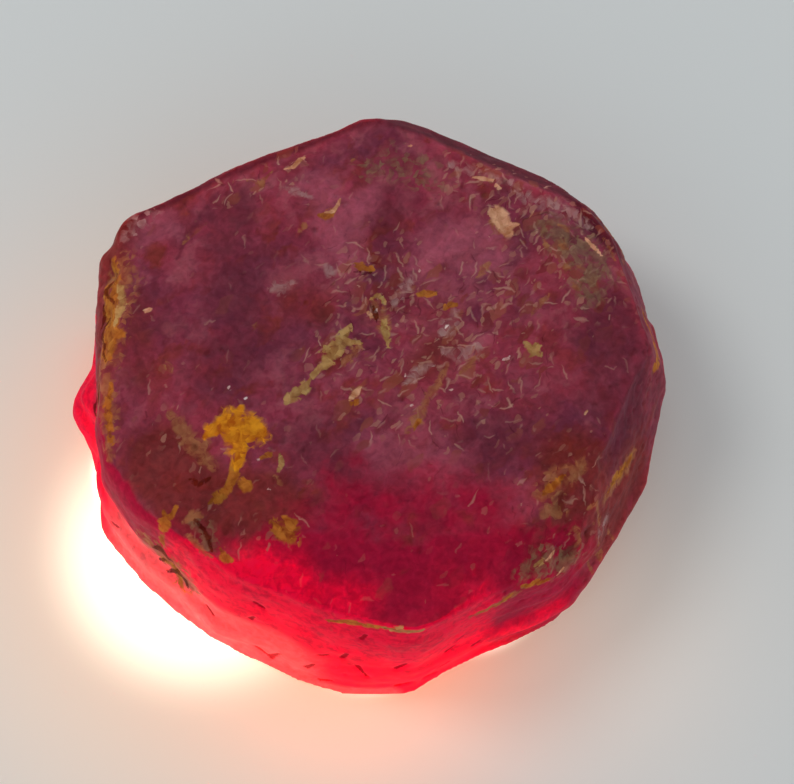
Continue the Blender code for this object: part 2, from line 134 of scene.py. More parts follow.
TOP_TRACES = (
    # The olive seam that crosses the middle of the top face.
    Trace(Mark.OLIVE, 0.62, ((-4.4, -2.6, 0.5), (-4.1, -2.3), (-3.7, -1.9), (-3.3, -1.6, 0.7),
        (-3.1, -1.2, 0.3))),
    Trace(Mark.OLIVE, 0.40, ((-3.1, -1.2, 0.6), (-2.7, -0.7, 0.9), (-2.2, -0.3, 0.6))),
    Trace(Mark.OLIVE, 0.70, ((-2.3, -0.5, 0.5), (-2.0, 0.1), (-1.6, 0.7, 1.1), (-1.2, 1.3, 0.9),
        (-0.9, 1.9, 0.3))),
    Trace(Mark.OLIVE, 0.44, ((-1.4, 0.8), (-0.8, 1.0, 0.8), (-0.2, 0.9, 0.3))),
    Trace(Mark.OLIVE, 0.40, ((-1.8, 0.4, 0.8), (-2.3, 0.6, 0.6), (-2.6, 0.4, 0.2))),
    Trace(Mark.TAN, 0.60, ((-1.3, -0.3, 0.6), (-0.7, 0.3), (-0.3, 0.7, 0.4))),
    Trace(Mark.TAN, 0.66, ((0.4, 3.4, 0.7), (0.7, 2.8), (1.0, 2.0), (1.2, 1.1, 0.5))),
    Trace(Mark.OLIVE, 0.38, ((0.9, 2.2, 0.8), (1.1, 1.4), (1.3, 0.7, 0.4))),
    Trace(Mark.OLIVE, 0.34, ((0.3, 3.6, 0.5), (0.6, 3.8), (1.0, 3.4, 0.6))),
    Trace(Mark.BROWN, 0.30, ((0.3, 3.2, 0.7), (0.5, 2.7), (0.6, 2.2, 0.5))),
    Trace(Mark.PEACH, 0.24, ((0.1, 2.8, 0.7), (0.3, 2.5))),
    Trace(Mark.PEACH, 0.38, ((-0.9, -2.5, 0.4), (-0.6, -2.1), (-0.3, -1.7, 0.4))),
    Trace(Mark.OCHRE, 0.34, ((-0.8, -2.7, 0.8), (-0.5, -2.6))),
    # Flakes and clay in the scuffed middle.
    Trace(Mark.OCHRE, 0.42, ((2.9, 3.9, 0.5), (3.4, 4.0), (3.9, 4.0, 0.5))),
    Trace(Mark.TAN, 0.46, ((6.2, 5.0, 0.5), (6.5, 5.3), (6.9, 5.7, 0.4))),
    Trace(Mark.TAN, 0.46, ((9.2, 2.6, 0.4), (9.6, 3.1), (10.1, 3.7, 0.5)), 0.95),
    Trace(Mark.OCHRE, 0.40, ((4.4, 3.0, 0.6), (4.7, 3.3), (5.1, 3.2, 0.5))),
    Trace(Mark.OLIVE, 0.48, ((8.8, 0.9, 0.5), (9.2, 0.5), (9.6, 0.2, 0.5)), 0.85),
    Trace(Mark.OLIVE, 0.30, ((9.1, 0.1, 0.6), (9.5, 0.8))),
    Trace(Mark.TAN, 0.60, ((2.3, -4.3, 0.5), (2.8, -3.6), (3.2, -2.9, 0.8), (3.4, -2.5, 0.4))),
    Trace(Mark.OCHRE, 0.30, ((2.6, -4.2, 0.6), (2.9, -3.7))),
    Trace(Mark.TAN, 0.55, ((3.2, -2.6, 0.4), (3.6, -1.9), (4.1, -1.3, 0.6), (4.5, -0.3, 0.4))),
    Trace(Mark.TAN, 0.42, ((5.2, -0.9, 0.5), (5.6, -0.4), (6.0, 0.0, 0.5))),
    # Painted glints: near-white specks that stand in for highlights.
    Trace(Mark.PAINTED_GLINT, 0.18, ((7.6, -0.1, 0.8), (7.9, 0.0))),
    Trace(Mark.PEACH, 0.16, ((12.0, -3.2, 0.6), (12.2, -2.9))),
    Trace(Mark.PAINTED_GLINT, 0.18, ((0.5, 2.8), (0.6, 3.0, 0.7))),
    Trace(Mark.PAINTED_GLINT, 0.14, ((2.5, -2.8), (2.7, -2.7, 0.7))),
    Trace(Mark.PAINTED_GLINT, 0.14, ((2.1, -1.1, 0.7), (2.2, -0.9))),
    Trace(Mark.PAINTED_GLINT, 0.13, ((4.4, 1.9), (4.5, 2.0))),
    Trace(Mark.PAINTED_GLINT, 0.13, ((2.9, 5.4), (3.0, 5.2, 0.6))),
    Trace(Mark.PAINTED_GLINT, 0.13, ((4.5, -1.9, 0.6), (4.8, -1.8, 0.8))),
    Trace(Mark.FROST, 0.95, ((4.5, 0.4, 0.6), (5.3, 0.1), (6.0, 0.4, 0.6), (6.4, 0.9, 0.4)), 0.95),
    Trace(Mark.FROST, 0.80, ((1.5, 3.4, 0.6), (1.9, 4.0), (2.4, 4.7, 0.6)), 0.9),
    Trace(Mark.FROST, 0.90, ((4.2, 1.5, 0.6), (4.7, 2.1), (4.9, 2.8, 0.5)), 0.85),
    Trace(Mark.FROST, 0.70, ((2.1, -1.6, 0.5), (2.9, -0.8), (3.6, -0.4, 0.5)), 0.9),
    # The amber patch with its lobes, its tail, its blob and the trail that leads to it from the left.
    Trace(Mark.TAN, 0.85, ((-10.8, -3.0, 0.4), (-10.4, -3.6, 0.8), (-9.9, -4.5), (-9.4, -5.1),
        (-8.9, -5.6, 0.9), (-8.4, -6.1, 0.6))),
    Trace(Mark.TAN, 0.60, ((-9.3, -4.7, 0.8), (-8.7, -4.8)), 0.9),
    Trace(Mark.AMBER, 1.75, ((-7.4, -3.9), (-7.1, -4.5))),
    Trace(Mark.AMBER, 1.10, ((-7.9, -4.0), (-8.5, -4.2, 0.7), (-8.9, -4.5, 0.3))),
    Trace(Mark.AMBER, 1.35, ((-6.6, -4.0), (-6.2, -4.2), (-5.7, -4.4, 0.6))),
    Trace(Mark.AMBER, 0.62, ((-7.2, -3.5), (-6.9, -2.9, 0.5))),
    Trace(Mark.AMBER, 0.90, ((-7.1, -4.8), (-6.9, -5.5, 0.9), (-7.1, -6.2, 0.6))),
    Trace(Mark.OCHRE, 0.52, ((-7.1, -6.1, 0.9), (-7.2, -6.7, 0.9), (-7.4, -7.2, 0.8),
        (-7.7, -7.6, 0.9), (-8.2, -7.8), (-8.6, -8.1, 0.5))),
    Trace(Mark.OCHRE, 0.60, ((-6.7, -7.3), (-6.5, -7.4))),
    Trace(Mark.BROWN, 0.34, ((-9.7, -6.8, 0.5), (-9.2, -7.1), (-8.5, -6.8, 0.6)), 0.8),
    Trace(Mark.OLIVE, 0.36, ((-4.7, -5.5, 0.4), (-4.6, -6.0), (-4.8, -6.6, 0.5)), 0.95),
    Trace(Mark.OCHRE, 0.30, ((-5.8, -5.8, 0.6), (-5.3, -5.6))),
    # Painted glint: a near-white speck that stands in for a highlight.
    Trace(Mark.PAINTED_GLINT, 0.17, ((-5.9, -5.9), (-5.8, -5.9, 0.7))),
    Trace(Mark.TAN, 0.34, ((-5.0, -6.9, 0.6), (-4.7, -7.3))),
    Trace(Mark.PAINTED_GLINT, 0.14, ((-5.3, -7.6), (-5.2, -7.7, 0.7))),
    Trace(Mark.TAN, 0.40, ((-11.1, -0.2, 0.5), (-10.9, -0.5), (-10.8, -0.8, 0.5))),
    # The broken hollow by the lower left edge, its rims and what lies round it.
    Trace(Mark.MOSS, 0.80, ((-9.5, -9.0, 0.7), (-9.0, -9.4), (-8.7, -9.9), (-8.4, -10.5, 0.8),
        (-8.2, -10.8, 0.5))),
    Trace(Mark.BROWN, 0.34, ((-9.3, -9.1, 0.7), (-8.9, -9.6), (-8.6, -10.1), (-8.4, -10.8, 0.5)), 0.9),
    Trace(Mark.TAN, 0.50, ((-9.9, -9.1, 0.5), (-9.5, -8.8), (-9.0, -8.8, 0.6))),
    Trace(Mark.TAN, 0.36, ((-9.8, -9.8, 0.4), (-9.4, -10.2), (-8.9, -10.8), (-8.4, -11.1, 0.6))),
    Trace(Mark.OCHRE, 0.46, ((-7.9, -10.7, 0.5), (-7.7, -11.2), (-7.3, -11.4, 0.5))),
    Trace(Mark.OCHRE, 0.58, ((-11.1, -8.5, 0.5), (-11.0, -9.1), (-11.3, -9.6, 0.6)), 0.95),
    Trace(Mark.OCHRE, 0.40, ((-10.7, -8.8), (-10.4, -8.3, 0.5)), 0.95),
    Trace(Mark.OCHRE, 0.90, ((-5.1, -9.5, 0.5), (-4.6, -10.0), (-4.1, -10.3), (-3.7, -9.9, 0.6)), 0.95),
    Trace(Mark.OCHRE, 0.50, ((-4.4, -9.5), (-3.8, -9.5, 0.6)), 0.95),
    # Flakes on the upper left.
    Trace(Mark.TAN, 0.34, ((-6.8, 10.8, 0.3), (-6.3, 10.7, 0.8), (-5.9, 10.4), (-5.8, 10.9, 0.8),
        (-5.4, 11.4, 0.4))),
    Trace(Mark.PEACH, 0.28, ((-4.7, 11.5, 0.3), (-4.2, 11.6, 0.8), (-3.8, 12.1), (-3.5, 12.3, 0.4))),
    Trace(Mark.OCHRE, 0.46, ((-2.7, 8.5, 0.5), (-2.3, 8.5), (-2.0, 8.7, 0.9), (-1.7, 9.0, 0.4))),
    Trace(Mark.PEACH, 0.24, ((-2.3, 8.7, 0.6), (-1.9, 8.8), (-1.6, 9.2, 0.8), (-1.5, 9.6, 0.4))),
    Trace(Mark.OCHRE, 0.42, ((-0.8, 5.7, 0.4), (-0.3, 5.5), (0.3, 5.4, 0.6))),
    Trace(Mark.BROWN, 0.24, ((-0.7, 5.2, 0.6), (-0.2, 5.1), (0.3, 5.2, 0.5))),
    Trace(Mark.FROST, 0.72, ((-5.2, 4.2, 0.6), (-4.8, 4.3), (-4.3, 4.4, 0.7)), 1.15),
    Trace(Mark.FROST, 0.50, ((-4.7, 10.3, 0.5), (-4.0, 10.0), (-3.1, 9.6, 0.4)), 0.9),
    Trace(Mark.FROST, 0.60, ((-2.3, 5.6, 0.6), (-2.0, 5.2)), 0.9),
    Trace(Mark.TAN, 0.30, ((-10.3, 7.0, 0.6), (-10.1, 7.3), (-10.0, 7.7, 0.5))),
    Trace(Mark.PEACH, 0.22, ((-12.3, 2.8), (-12.0, 2.9, 0.8))),
    Trace(Mark.TAN, 0.30, ((-6.4, 1.6, 0.6), (-6.1, 2.0))),
    # Painted glints: near-white specks that stand in for highlights.
    Trace(Mark.PAINTED_GLINT, 0.14, ((-7.6, -1.7), (-7.5, -1.8))),
    Trace(Mark.PAINTED_GLINT, 0.14, ((-6.7, -2.3), (-6.6, -2.3))),
    Trace(Mark.TAN, 0.34, ((-3.7, 7.6, 0.5), (-3.5, 7.9)), 0.95),
    Trace(Mark.TAN, 0.26, ((-0.9, 11.9, 0.5), (-0.6, 12.2))),
    Trace(Mark.PEACH, 0.20, ((2.2, 13.0, 0.6), (2.5, 12.9))),
    # Flakes and olive film on the upper right.
    Trace(Mark.MOSS, 1.90, ((0.2, 11.3, 0.8), (1.6, 11.7), (3.0, 11.2), (3.7, 10.4, 0.6)), 0.75),
    Trace(Mark.PEACH, 0.86, ((7.3, 8.8, 0.9), (7.6, 8.3), (7.9, 7.6, 0.8))),
    Trace(Mark.PEACH, 0.40, ((8.0, 8.0), (8.5, 8.1, 0.5))),
    Trace(Mark.TAN, 0.50, ((7.1, 8.2, 0.8), (7.4, 7.6))),
    Trace(Mark.PEACH, 0.24, ((6.0, 11.0, 0.4), (6.5, 10.9), (7.1, 10.8, 0.6))),
    Trace(Mark.PEACH, 0.24, ((7.2, 10.6, 0.5), (7.5, 10.3, 0.8))),
    Trace(Mark.PEACH, 0.20, ((9.1, 8.4, 0.5), (9.3, 8.8))),
    Trace(Mark.MOSS, 2.30, ((10.2, 7.8, 0.6), (11.5, 7.0), (12.9, 5.7), (12.5, 4.2, 0.7)), 0.95),
    Trace(Mark.TAN, 0.34, ((9.9, 7.3, 0.6), (10.1, 6.7)), 0.95),
    Trace(Mark.TAN, 0.38, ((10.7, 7.1, 0.6), (11.1, 6.7), (11.3, 6.6, 0.5)), 0.95),
    Trace(Mark.PEACH, 0.26, ((12.3, 7.5, 0.4), (12.7, 7.0), (13.2, 6.5, 0.5))),
    Trace(Mark.TAN, 0.30, ((10.8, 8.1, 0.6), (11.3, 7.9)), 0.95),
    Trace(Mark.TAN, 0.34, ((11.8, 5.6, 0.6), (12.2, 5.5)), 0.95),
    Trace(Mark.TAN, 0.36, ((10.8, 5.8, 0.6), (11.2, 5.4))),
    Trace(Mark.TAN, 0.30, ((13.3, 7.7, 0.5), (13.7, 7.0), (14.0, 6.3, 0.5)), 0.95),
    Trace(Mark.TAN, 0.36, ((11.5, 4.6, 0.6), (11.8, 4.2))),
    Trace(Mark.FROST, 0.90, ((8.5, 10.1, 0.6), (9.9, 9.5), (11.4, 8.9), (12.6, 8.3, 0.6)), 0.8),
    Trace(Mark.FROST, 0.80, ((4.6, 11.7, 0.5), (6.4, 11.3), (8.2, 10.6, 0.6)), 0.62),
    # Clay and rings on the slope down to the lower right.
    Trace(Mark.TAN, 1.30, ((9.7, -7.8, 0.7), (10.7, -7.0), (11.8, -6.2, 0.7))),
    Trace(Mark.OCHRE, 0.50, ((9.7, -7.9, 0.7), (10.3, -7.4), (10.8, -6.8, 0.5)), 0.9),
    Trace(Mark.TAN, 0.80, ((9.7, -8.9, 0.8), (10.6, -8.4))),
    Trace(Mark.TAN, 0.34, ((12.2, -8.2, 0.5), (12.7, -7.7), (13.0, -8.2), (12.5, -8.6, 0.6))),
    Trace(Mark.TAN, 0.32, ((11.0, -9.6, 0.5), (11.4, -9.2), (11.8, -9.6), (11.5, -10.0, 0.6))),
    Trace(Mark.TAN, 0.32, ((12.8, -9.0, 0.6), (13.2, -9.2), (13.3, -9.7), (12.8, -9.9, 0.6))),
    Trace(Mark.TAN, 0.34, ((14.0, -8.0, 0.6), (13.8, -8.6), (13.3, -8.9, 0.5))),
    Trace(Mark.MOSS, 1.50, ((8.8, -11.8, 0.8), (9.8, -11.1), (10.7, -11.0), (11.6, -10.4, 0.8))),
    Trace(Mark.PEACH, 0.20, ((9.8, -11.2, 0.5), (10.2, -10.7), (10.4, -10.4, 0.6))),
    Trace(Mark.PEACH, 0.20, ((10.5, -11.5, 0.6), (10.9, -11.1))),
    Trace(Mark.OLIVE, 0.34, ((9.2, -11.5, 0.6), (9.6, -11.2)), 0.95),
    # Clay on the left edge, and the bruised facet above it.
    Trace(Mark.TAN, 1.40, ((-14.3, 5.2, 0.7), (-14.2, 3.6), (-14.0, 1.6), (-14.1, 0.2, 0.7))),
    Trace(Mark.OCHRE, 0.95, ((-14.5, 4.8, 0.6), (-14.4, 3.2), (-14.1, 1.6, 1.1), (-14.4, 0.4, 0.6))),
    Trace(Mark.BROWN, 0.30, ((-14.8, 3.8, 0.5), (-14.7, 3.0), (-14.9, 2.2, 0.5))),
    Trace(Mark.BROWN, 0.28, ((-14.6, 1.4, 0.5), (-14.7, 0.8), (-14.5, 0.2, 0.5))),
    Trace(Mark.TAN, 1.00, ((-14.4, -0.6, 0.6), (-14.3, -3.0), (-14.2, -5.2, 0.6))),
    Trace(Mark.OCHRE, 0.50, ((-14.2, -1.2, 0.5), (-14.4, -2.6), (-14.1, -4.4, 0.6)), 0.9),
    Trace(Mark.FROST, 1.10, ((-13.7, 7.4, 0.6), (-13.0, 8.4), (-12.0, 9.0, 0.6)), 0.70),
    # Where chips and scratches lie thick.
    Trace(Mark.SCUFF, 5.0, ((0.8, 4.2), (3.8, 2.0), (7.6, 3.6))),
    Trace(Mark.SCUFF, 4.2, ((-0.6, 0.4), (3.6, -1.0), (7.6, -1.4)), 0.9),
    Trace(Mark.SCUFF, 3.0, ((0.6, -3.6), (4.6, -3.4), (8.8, -2.6)), 0.6),
    Trace(Mark.SCUFF, 3.4, ((6.4, 11.0), (9.6, 9.4), (12.6, 7.0)), 0.85),
    Trace(Mark.SCUFF, 3.0, ((9.0, 8.0), (12.0, 6.0), (12.6, 4.4))),
    Trace(Mark.SCUFF, 2.6, ((-7.4, 10.6), (-3.6, 11.8)), 0.5),
    Trace(Mark.SCUFF, 3.2, ((9.8, -7.6), (12.4, -6.0), (11.6, -9.8)), 0.7),
    Trace(Mark.SCUFF, 2.6, ((-11.2, -3.4), (-8.6, -7.4)), 0.5),
    Trace(Mark.SCUFF, 2.4, ((-6.6, -9.6), (-4.0, -10.4)), 0.35),
    # Milky veils: one with a sharp right-hand border, one in the upper left facet, one over the scuffs.
    Trace(Mark.VEIL, 2.3, ((-2.4, 10.0), (-1.8, 8.4), (-1.2, 6.8)), 0.8),
    Trace(Mark.VEIL, 1.5, ((0.0, 9.6), (-0.8, 7.6)), 0.8),
    Trace(Mark.VEIL, 2.2, ((4.2, 7.2), (5.6, 6.4), (6.8, 6.6)), 0.85),
    Trace(Mark.VEIL, 2.2, ((-12.8, 7.4), (-11.6, 8.4)), 0.55),
    Trace(Mark.VEIL, 2.6, ((3.2, 0.4), (5.6, 1.2)), 0.45),
    Trace(Mark.VEIL, 2.4, ((2.8, 5.2), (4.4, 3.8)), 0.5),
    Trace(Mark.VEIL, 3.0, ((0.6, -5.8), (4.6, -6.0)), 0.5),
    Trace(Mark.VEIL, 2.4, ((-8.6, -2.2), (-5.6, -0.6)), 0.3),
    # Dark plum, and the crack that bounds the upper left facet.
    Trace(Mark.GLOOM, 3.6, ((13.6, 2.4), (14.4, -2.4)), 0.8),
    Trace(Mark.GLOOM, 3.4, ((-7.6, 4.6), (-6.6, 1.4), (-8.4, -1.0)), 0.6),
    Trace(Mark.GLOOM, 2.4, ((-7.6, 9.0), (-7.6, 6.8)), 0.8),
    Trace(Mark.GLOOM, 2.0, ((1.4, 9.4), (1.0, 7.4)), 0.6),
    Trace(Mark.GLOOM, 2.8, ((6.6, -5.0), (9.6, -4.4)), 0.7),
    Trace(Mark.GLOOM, 2.6, ((-3.2, -5.0), (-1.0, -6.8)), 0.6),
    Trace(Mark.GLOOM, 0.34, ((-8.4, 10.2, 0.4), (-9.3, 8.8), (-10.1, 7.5), (-10.6, 6.0, 0.4)), 0.7),
    # Iron-brown skin round the stains.
    Trace(Mark.RUST, 3.2, ((-11.2, -5.6), (-8.8, -8.4), (-5.2, -8.8)), 1.1),
    Trace(Mark.RUST, 2.2, ((-12.9, 3.2), (-12.2, -1.0)), 0.45),
    Trace(Mark.RUST, 3.6, ((11.6, -6.6), (12.6, -9.2), (10.2, -10.8)), 1.15),
    Trace(Mark.RUST, 2.6, ((0.4, 3.2), (1.8, 3.8), (4.4, 3.0)), 0.35),
    Trace(Mark.RUST, 2.0, ((3.2, -0.4), (4.6, 0.8)), 0.6),
    Trace(Mark.RUST, 2.0, ((-2.6, 3.0), (-4.0, 3.4)), 0.5),
    # Painted glow: crimson that deepens towards the front, and clean ruby along it, painted bright red.
    Trace(Mark.PAINTED_EMBER, 4.4, ((-3.4, -12.2), (-0.4, -13.0), (3.4, -13.0), (7.0, -12.2))),
    Trace(Mark.PAINTED_EMBER, 5.4, ((-1.0, -9.4), (2.6, -9.2), (5.6, -9.6)), 0.55),
    Trace(Mark.PAINTED_EMBER, 2.4, ((-15.0, -6.0), (-13.8, -8.0), (-12.4, -9.6), (-10.4, -11.4)), 0.9),
    Trace(Mark.PAINTED_EMBER, 2.2, ((-10.6, -9.6), (-9.2, -10.5), (-7.6, -10.5)), 0.42),
    Trace(Mark.CLEAR, 3.4, ((-8.2, -12.6), (-6.4, -12.6), (-4.6, -13.0), (-3.4, -13.9)), 0.85),
    Trace(Mark.CLEAR, 2.8, ((-3.2, -13.6), (-0.8, -13.8)), 0.5),
    Trace(Mark.CLEAR, 4.2, ((4.6, -13.2), (7.6, -12.6)), 0.24),
)

SIDE_TRACES = (
    # Clean ruby on the ledge, and the thin rim low on the front, both with painted glow in their colour.
    Trace(Mark.CLEAR, 4.4, ((-158, 4), (-170, 3), (-179, 3), (175, 3), (168, 3)), 1.2),
    Trace(Mark.CLEAR, 3.0, ((-60, 3), (-50, 3.6)), 0.55),
    Trace(Mark.ROSE_AND_GLOW, 1.3, ((-120, 0.4), (-108, 0.4), (-96, 0.4), (-86, 0.4)), 0.8),
    # Iron stain in the groove above the ledge, and up the left edge.
    Trace(Mark.RUST, 2.4, ((150, 10.4), (162, 10.4), (176, 9.8), (-174, 9.4))),
    Trace(Mark.TAN, 1.50, ((158, 11.6), (165, 11.6), (172, 11.4), (178, 10.8))),
    Trace(Mark.OCHRE, 1.05, ((157, 11, 0.6), (163, 11.4), (170, 11.2), (177, 10.6, 0.6))),
    Trace(Mark.OLIVE, 0.55, ((162, 11.6, 0.6), (166, 11.8), (171, 11.6, 0.6)), 0.9),
    Trace(Mark.BROWN, 0.34, ((159, 11.2, 0.5), (163, 10.6), (166, 11.4, 0.5))),
    Trace(Mark.BROWN, 0.34, ((169, 10.8, 0.5), (173, 10.4), (176, 10.8, 0.5))),
    Trace(Mark.TAN, 1.10, ((178, 10.2), (-177, 10), (-172, 9.6))),
    Trace(Mark.BROWN, 0.50, ((-178, 9.8, 0.5), (-175, 9.6), (-171, 9.4, 0.5))),
    Trace(Mark.BROWN, 0.36, ((178, 6.4, 0.6), (-178, 5.6), (-174, 5.4, 0.6))),
    # Dark crescents on the lower left shoulder, in a rusty patch.
    Trace(Mark.TAN, 2.20, ((-142, 6.6), (-137, 6.4), (-133, 5.4))),
    Trace(Mark.OCHRE, 0.90, ((-140, 5.6, 0.6), (-137, 6.1), (-134, 4.2, 0.6)), 0.9),
    Trace(Mark.BROWN, 0.60, ((-142, 6.7, 0.4), (-140, 7.4), (-138, 7.0), (-136.5, 6.5, 0.4))),
    Trace(Mark.BROWN, 0.56, ((-138, 4.6, 0.4), (-136, 5.3), (-134, 5.4), (-132.5, 4.6, 0.5))),
    Trace(Mark.BROWN, 0.40, ((-141, 5.0, 0.6), (-139.5, 5.6, 0.6))),
    # The rusty line along the front edge of the top face.
    Trace(Mark.OCHRE, 0.42, ((-98, 10.2, 0.6), (-94, 10.8), (-90, 11.1), (-86, 11.4, 0.7))),
    Trace(Mark.OLIVE, 0.50, ((-86, 11.4, 0.6), (-83, 11.5), (-79, 11.5, 0.7))),
    Trace(Mark.TAN, 0.60, ((-68, 9.6, 0.6), (-63, 9.3), (-59, 9.3), (-55, 9.6, 0.6))),
    Trace(Mark.OCHRE, 0.34, ((-66, 9.5, 0.5), (-62, 9.1), (-58, 9.5, 0.5))),
    Trace(Mark.OCHRE, 0.44, ((-55.5, 9.8, 0.6), (-53, 9.5), (-49.5, 8.9, 0.6))),
    Trace(Mark.TAN, 0.90, ((-27, 8.4), (-21, 7.8), (-15, 7.0))),
    Trace(Mark.OCHRE, 0.60, ((-26, 8.6, 0.6), (-21, 7.9), (-15, 7.0, 0.6)), 0.9),
    Trace(Mark.RUST, 4.0, ((-38, 7), (-28, 6), (-18, 6)), 0.9),
    Trace(Mark.FROST, 0.80, ((-34, 7.2), (-30, 6.8)), 0.7),
    # Painted shade: the thin dark rim along the back.
    Trace(Mark.SHADE, 1.10, ((28, 10.8), (40, 10.9), (48, 10.8), (60, 11.0), (72, 11.2), (84, 11.4))),
    Trace(Mark.SHADE, 0.65, ((84, 11.4), (96, 11.5), (104, 11.6), (112, 11.6), (122, 11.6)), 0.75),
    Trace(Mark.SHADE, 0.60, ((122, 11.6), (132, 11.4), (138, 11.3), (144, 11.2), (150, 11.1)), 0.65),
    # Stains on the sides away from the front.
    Trace(Mark.OCHRE, 1.10, ((2, 8.8, 0.5), (10, 7.2), (16, 7.8, 0.5)), 0.9),
    Trace(Mark.OLIVE, 1.10, ((30, 9.4, 0.5), (38, 8.6), (47, 9.2, 0.5)), 0.8),
    Trace(Mark.TAN, 2.20, ((30, 8.8), (48, 8.4)), 0.9),
    Trace(Mark.OCHRE, 0.90, ((62, 6.0, 0.5), (70, 5.0), (76, 5.6, 0.5)), 0.9),
    Trace(Mark.BROWN, 0.60, ((64, 4.4, 0.5), (72, 3.8)), 0.9),
    Trace(Mark.OCHRE, 1.10, ((96, 8.6, 0.5), (104, 7.2), (112, 7.8, 0.5)), 0.85),
    Trace(Mark.MOSS, 2.20, ((98, 6.6), (116, 6.4)), 0.8),
    Trace(Mark.OLIVE, 0.90, ((124, 6.0, 0.5), (132, 5.0), (141, 6.2, 0.5)), 0.85),
    Trace(Mark.BROWN, 0.50, ((118, 3.4, 0.5), (126, 3.0)), 0.9),
    Trace(Mark.SCUFF, 4.0, ((20, 8), (60, 7), (100, 7), (140, 7)), 0.6),
    Trace(Mark.VEIL, 4.0, ((30, 5), (50, 5)), 0.6),
    Trace(Mark.VEIL, 3.6, ((110, 5), (130, 6)), 0.6),
    Trace(Mark.GLOOM, 4.0, ((70, 8), (92, 8)), 0.7),
)

# Painted glow on the front walls, partly with real clarity, and painted shade on the right and back walls.
WALL_ZONES = (
    WallZone(Mark.PAINTED_EMBER, -168, -40, fade=18.0),
    WallZone(Mark.CLEAR, -136, -65, fade=18.0, strength=1.2),
    WallZone(Mark.ROSE_AND_GLOW, -156, -101, -2.0, 5.6, fade=14.0, strength=0.9),
    WallZone(Mark.SHADE, -24, 34, strength=0.4),
    WallZone(Mark.SHADE, 24, 158, 7.5, fade=14.0, soften=7.0),
)

# Dark slits low on the front: each slit's two ends, as bearing and height.
FRONT_SLITS = (
    ((-115, 2.2), (-111, 1.2)), ((-111, 1.5), (-108.5, 3.0)), ((-103, 2.7), (-101, 3.7)),
    ((-100, 5.0), (-98, 5.3)), ((-95, 5.4), (-94, 6.3)), ((-92, 4.6), (-90, 3.3)),
    ((-100, 1.0), (-97.5, 1.5)), ((-91, 9.2), (-90, 9.8)), ((-84, 4.7), (-82, 5.4)),
    ((-75, 2.5), (-73, 2.8)), ((-73, 4.5), (-71, 4.8)), ((-71, 5.8), (-69.5, 6.4)),
    ((-78, 1.4), (-75.5, 0.9)), ((-84, 1.4), (-81, 1.8)), ((-67, 3.6), (-65.5, 3.8)),
    ((-155, 3.3), (-153, 3.8)), ((-115, 8.5), (-113, 8.2)), ((-116, 6.1), (-115, 6.7)),
    ((-168, 5.2), (-166, 4.6)), ((-127, 4.2), (-125, 3.8)),
)

# Where the skin is broken and grainy: a side's bearing and height, then how far that reaches and how much.
ROUGH_PLACES = (
    (-33, 9.0, 5.8, 1.0), (168, 9.6, 4.4, 0.9), (-140, 6.0, 3.6, 0.8), (36, 10.6, 4.0, 0.7),
    (-174, 7.6, 3.8, 0.8), (67, 4.0, 6.0, 0.7), (140, 4.0, 5.4, 0.7), (-62, 8.4, 3.2, 0.5),
    (-12, 8.0, 5.2, 0.9), (10, 8.4, 5.0, 0.8),
)


def linear(hex_colour: str) -> tuple[float, float, float, float]:
    """Turn an sRGB colour into the linear one that Blender's sockets take.

    Args:
        hex_colour: The colour as "#rrggbb".

    Returns:
        Linear red, green and blue, and an alpha of 1.
    """
    parts = [int(hex_colour[i : i + 2], 16) / 255 for i in (1, 3, 5)]
    red, green, blue = (c / 12.92 if c <= 0.04045 else ((c + 0.055) / 1.055) ** 2.4 for c in parts)
    return red, green, blue, 1.0


def add_node(tree: bpy.types.NodeTree, kind: str, inputs: dict | None = None, **settings: Any) -> Any:
    """Add a node with its settings and links.

    Args:
        tree: The node tree that gets it.
        kind: The node's type.
        inputs: The source of each input socket, by the socket's name or number.
        settings: The node's own properties.

    Returns:
        The node.
    """
    node = tree.nodes.new(kind)
    for name, value in settings.items():
        setattr(node, name, value)
    for name, value in (inputs or {}).items():
        source = value.outputs[0] if isinstance(value, bpy.types.Node) else value
        if isinstance(source, bpy.types.NodeSocket):
            tree.links.new(source, node.inputs[name])
        else:
            node.inputs[name].default_value = source
    return node


def reach_of_path(points: np.ndarray, path: np.ndarray, widths: np.ndarray) -> np.ndarray:
    """How far each point lies from a line that tapers, as a share of the line's reach there.

    Args:
        points: Places, one row each.
        path: The line's points, one row each.
        widths: The line's reach at each of its points.

    Returns:
        0 on the line and 1 where its reach ends.
    """
    nearest = np.linalg.norm(points - path[0], axis=1) / widths[0]
    for start, end, first, last in zip(path[:-1], path[1:], widths[:-1], widths[1:]):
        run = end - start
        share = np.clip((points - start) @ run / max(run @ run, 1e-12), 0, 1)
        apart = np.linalg.norm(points - start - share[:, None] * run, axis=1)
        nearest = np.minimum(nearest, apart / (first + share * (last - first)))
    return nearest


@dataclass(frozen=True)
class Stain:
    """The finish of one mineral that lies on the skin: matt, and ragged at its border."""

    mark: Mark
    dark: str
    light: str
    ragged: float  # how far the border wanders
    soft: float  # how slowly it fades in past the border
    cover: float  # how much of the ruby it hides


@dataclass(frozen=True)
class Zone:
    """A stretch of the ruby with its own depth of colour, or with painted glow or painted shade."""

    mark: Mark
    colour: str
    ragged: float
    share: float


@dataclass(frozen=True)
class Cloud:
    """Clouds under the skin that tint the ruby, each flat step of it more or less."""

    colour: str
    start: float  # cloud noise where the tint begins
    full: float  # cloud noise where it is full
    least: float  # share of the tint in the faintest step
    most: float  # share of it in the strongest


@dataclass(frozen=True)
class Chips:
    """A layer of small angular chips, one in each cell of a Voronoi pattern."""

    spacing: float
    size: float  # largest half-width, as a share of the spacing
    share: float  # of the cells that hold one where the skin is fully scuffed
    dark: str
    light: str
    cover: float
    offset: float  # shifts the pattern, so that the layers differ


@dataclass(frozen=True)
class Wisp:
    """A layer of short curved scratches, one in each cell of a Voronoi pattern."""

    spacing: float
    half_length: float
    half_width: float
    colour: str
    cover: float
    share: float
    offset: float


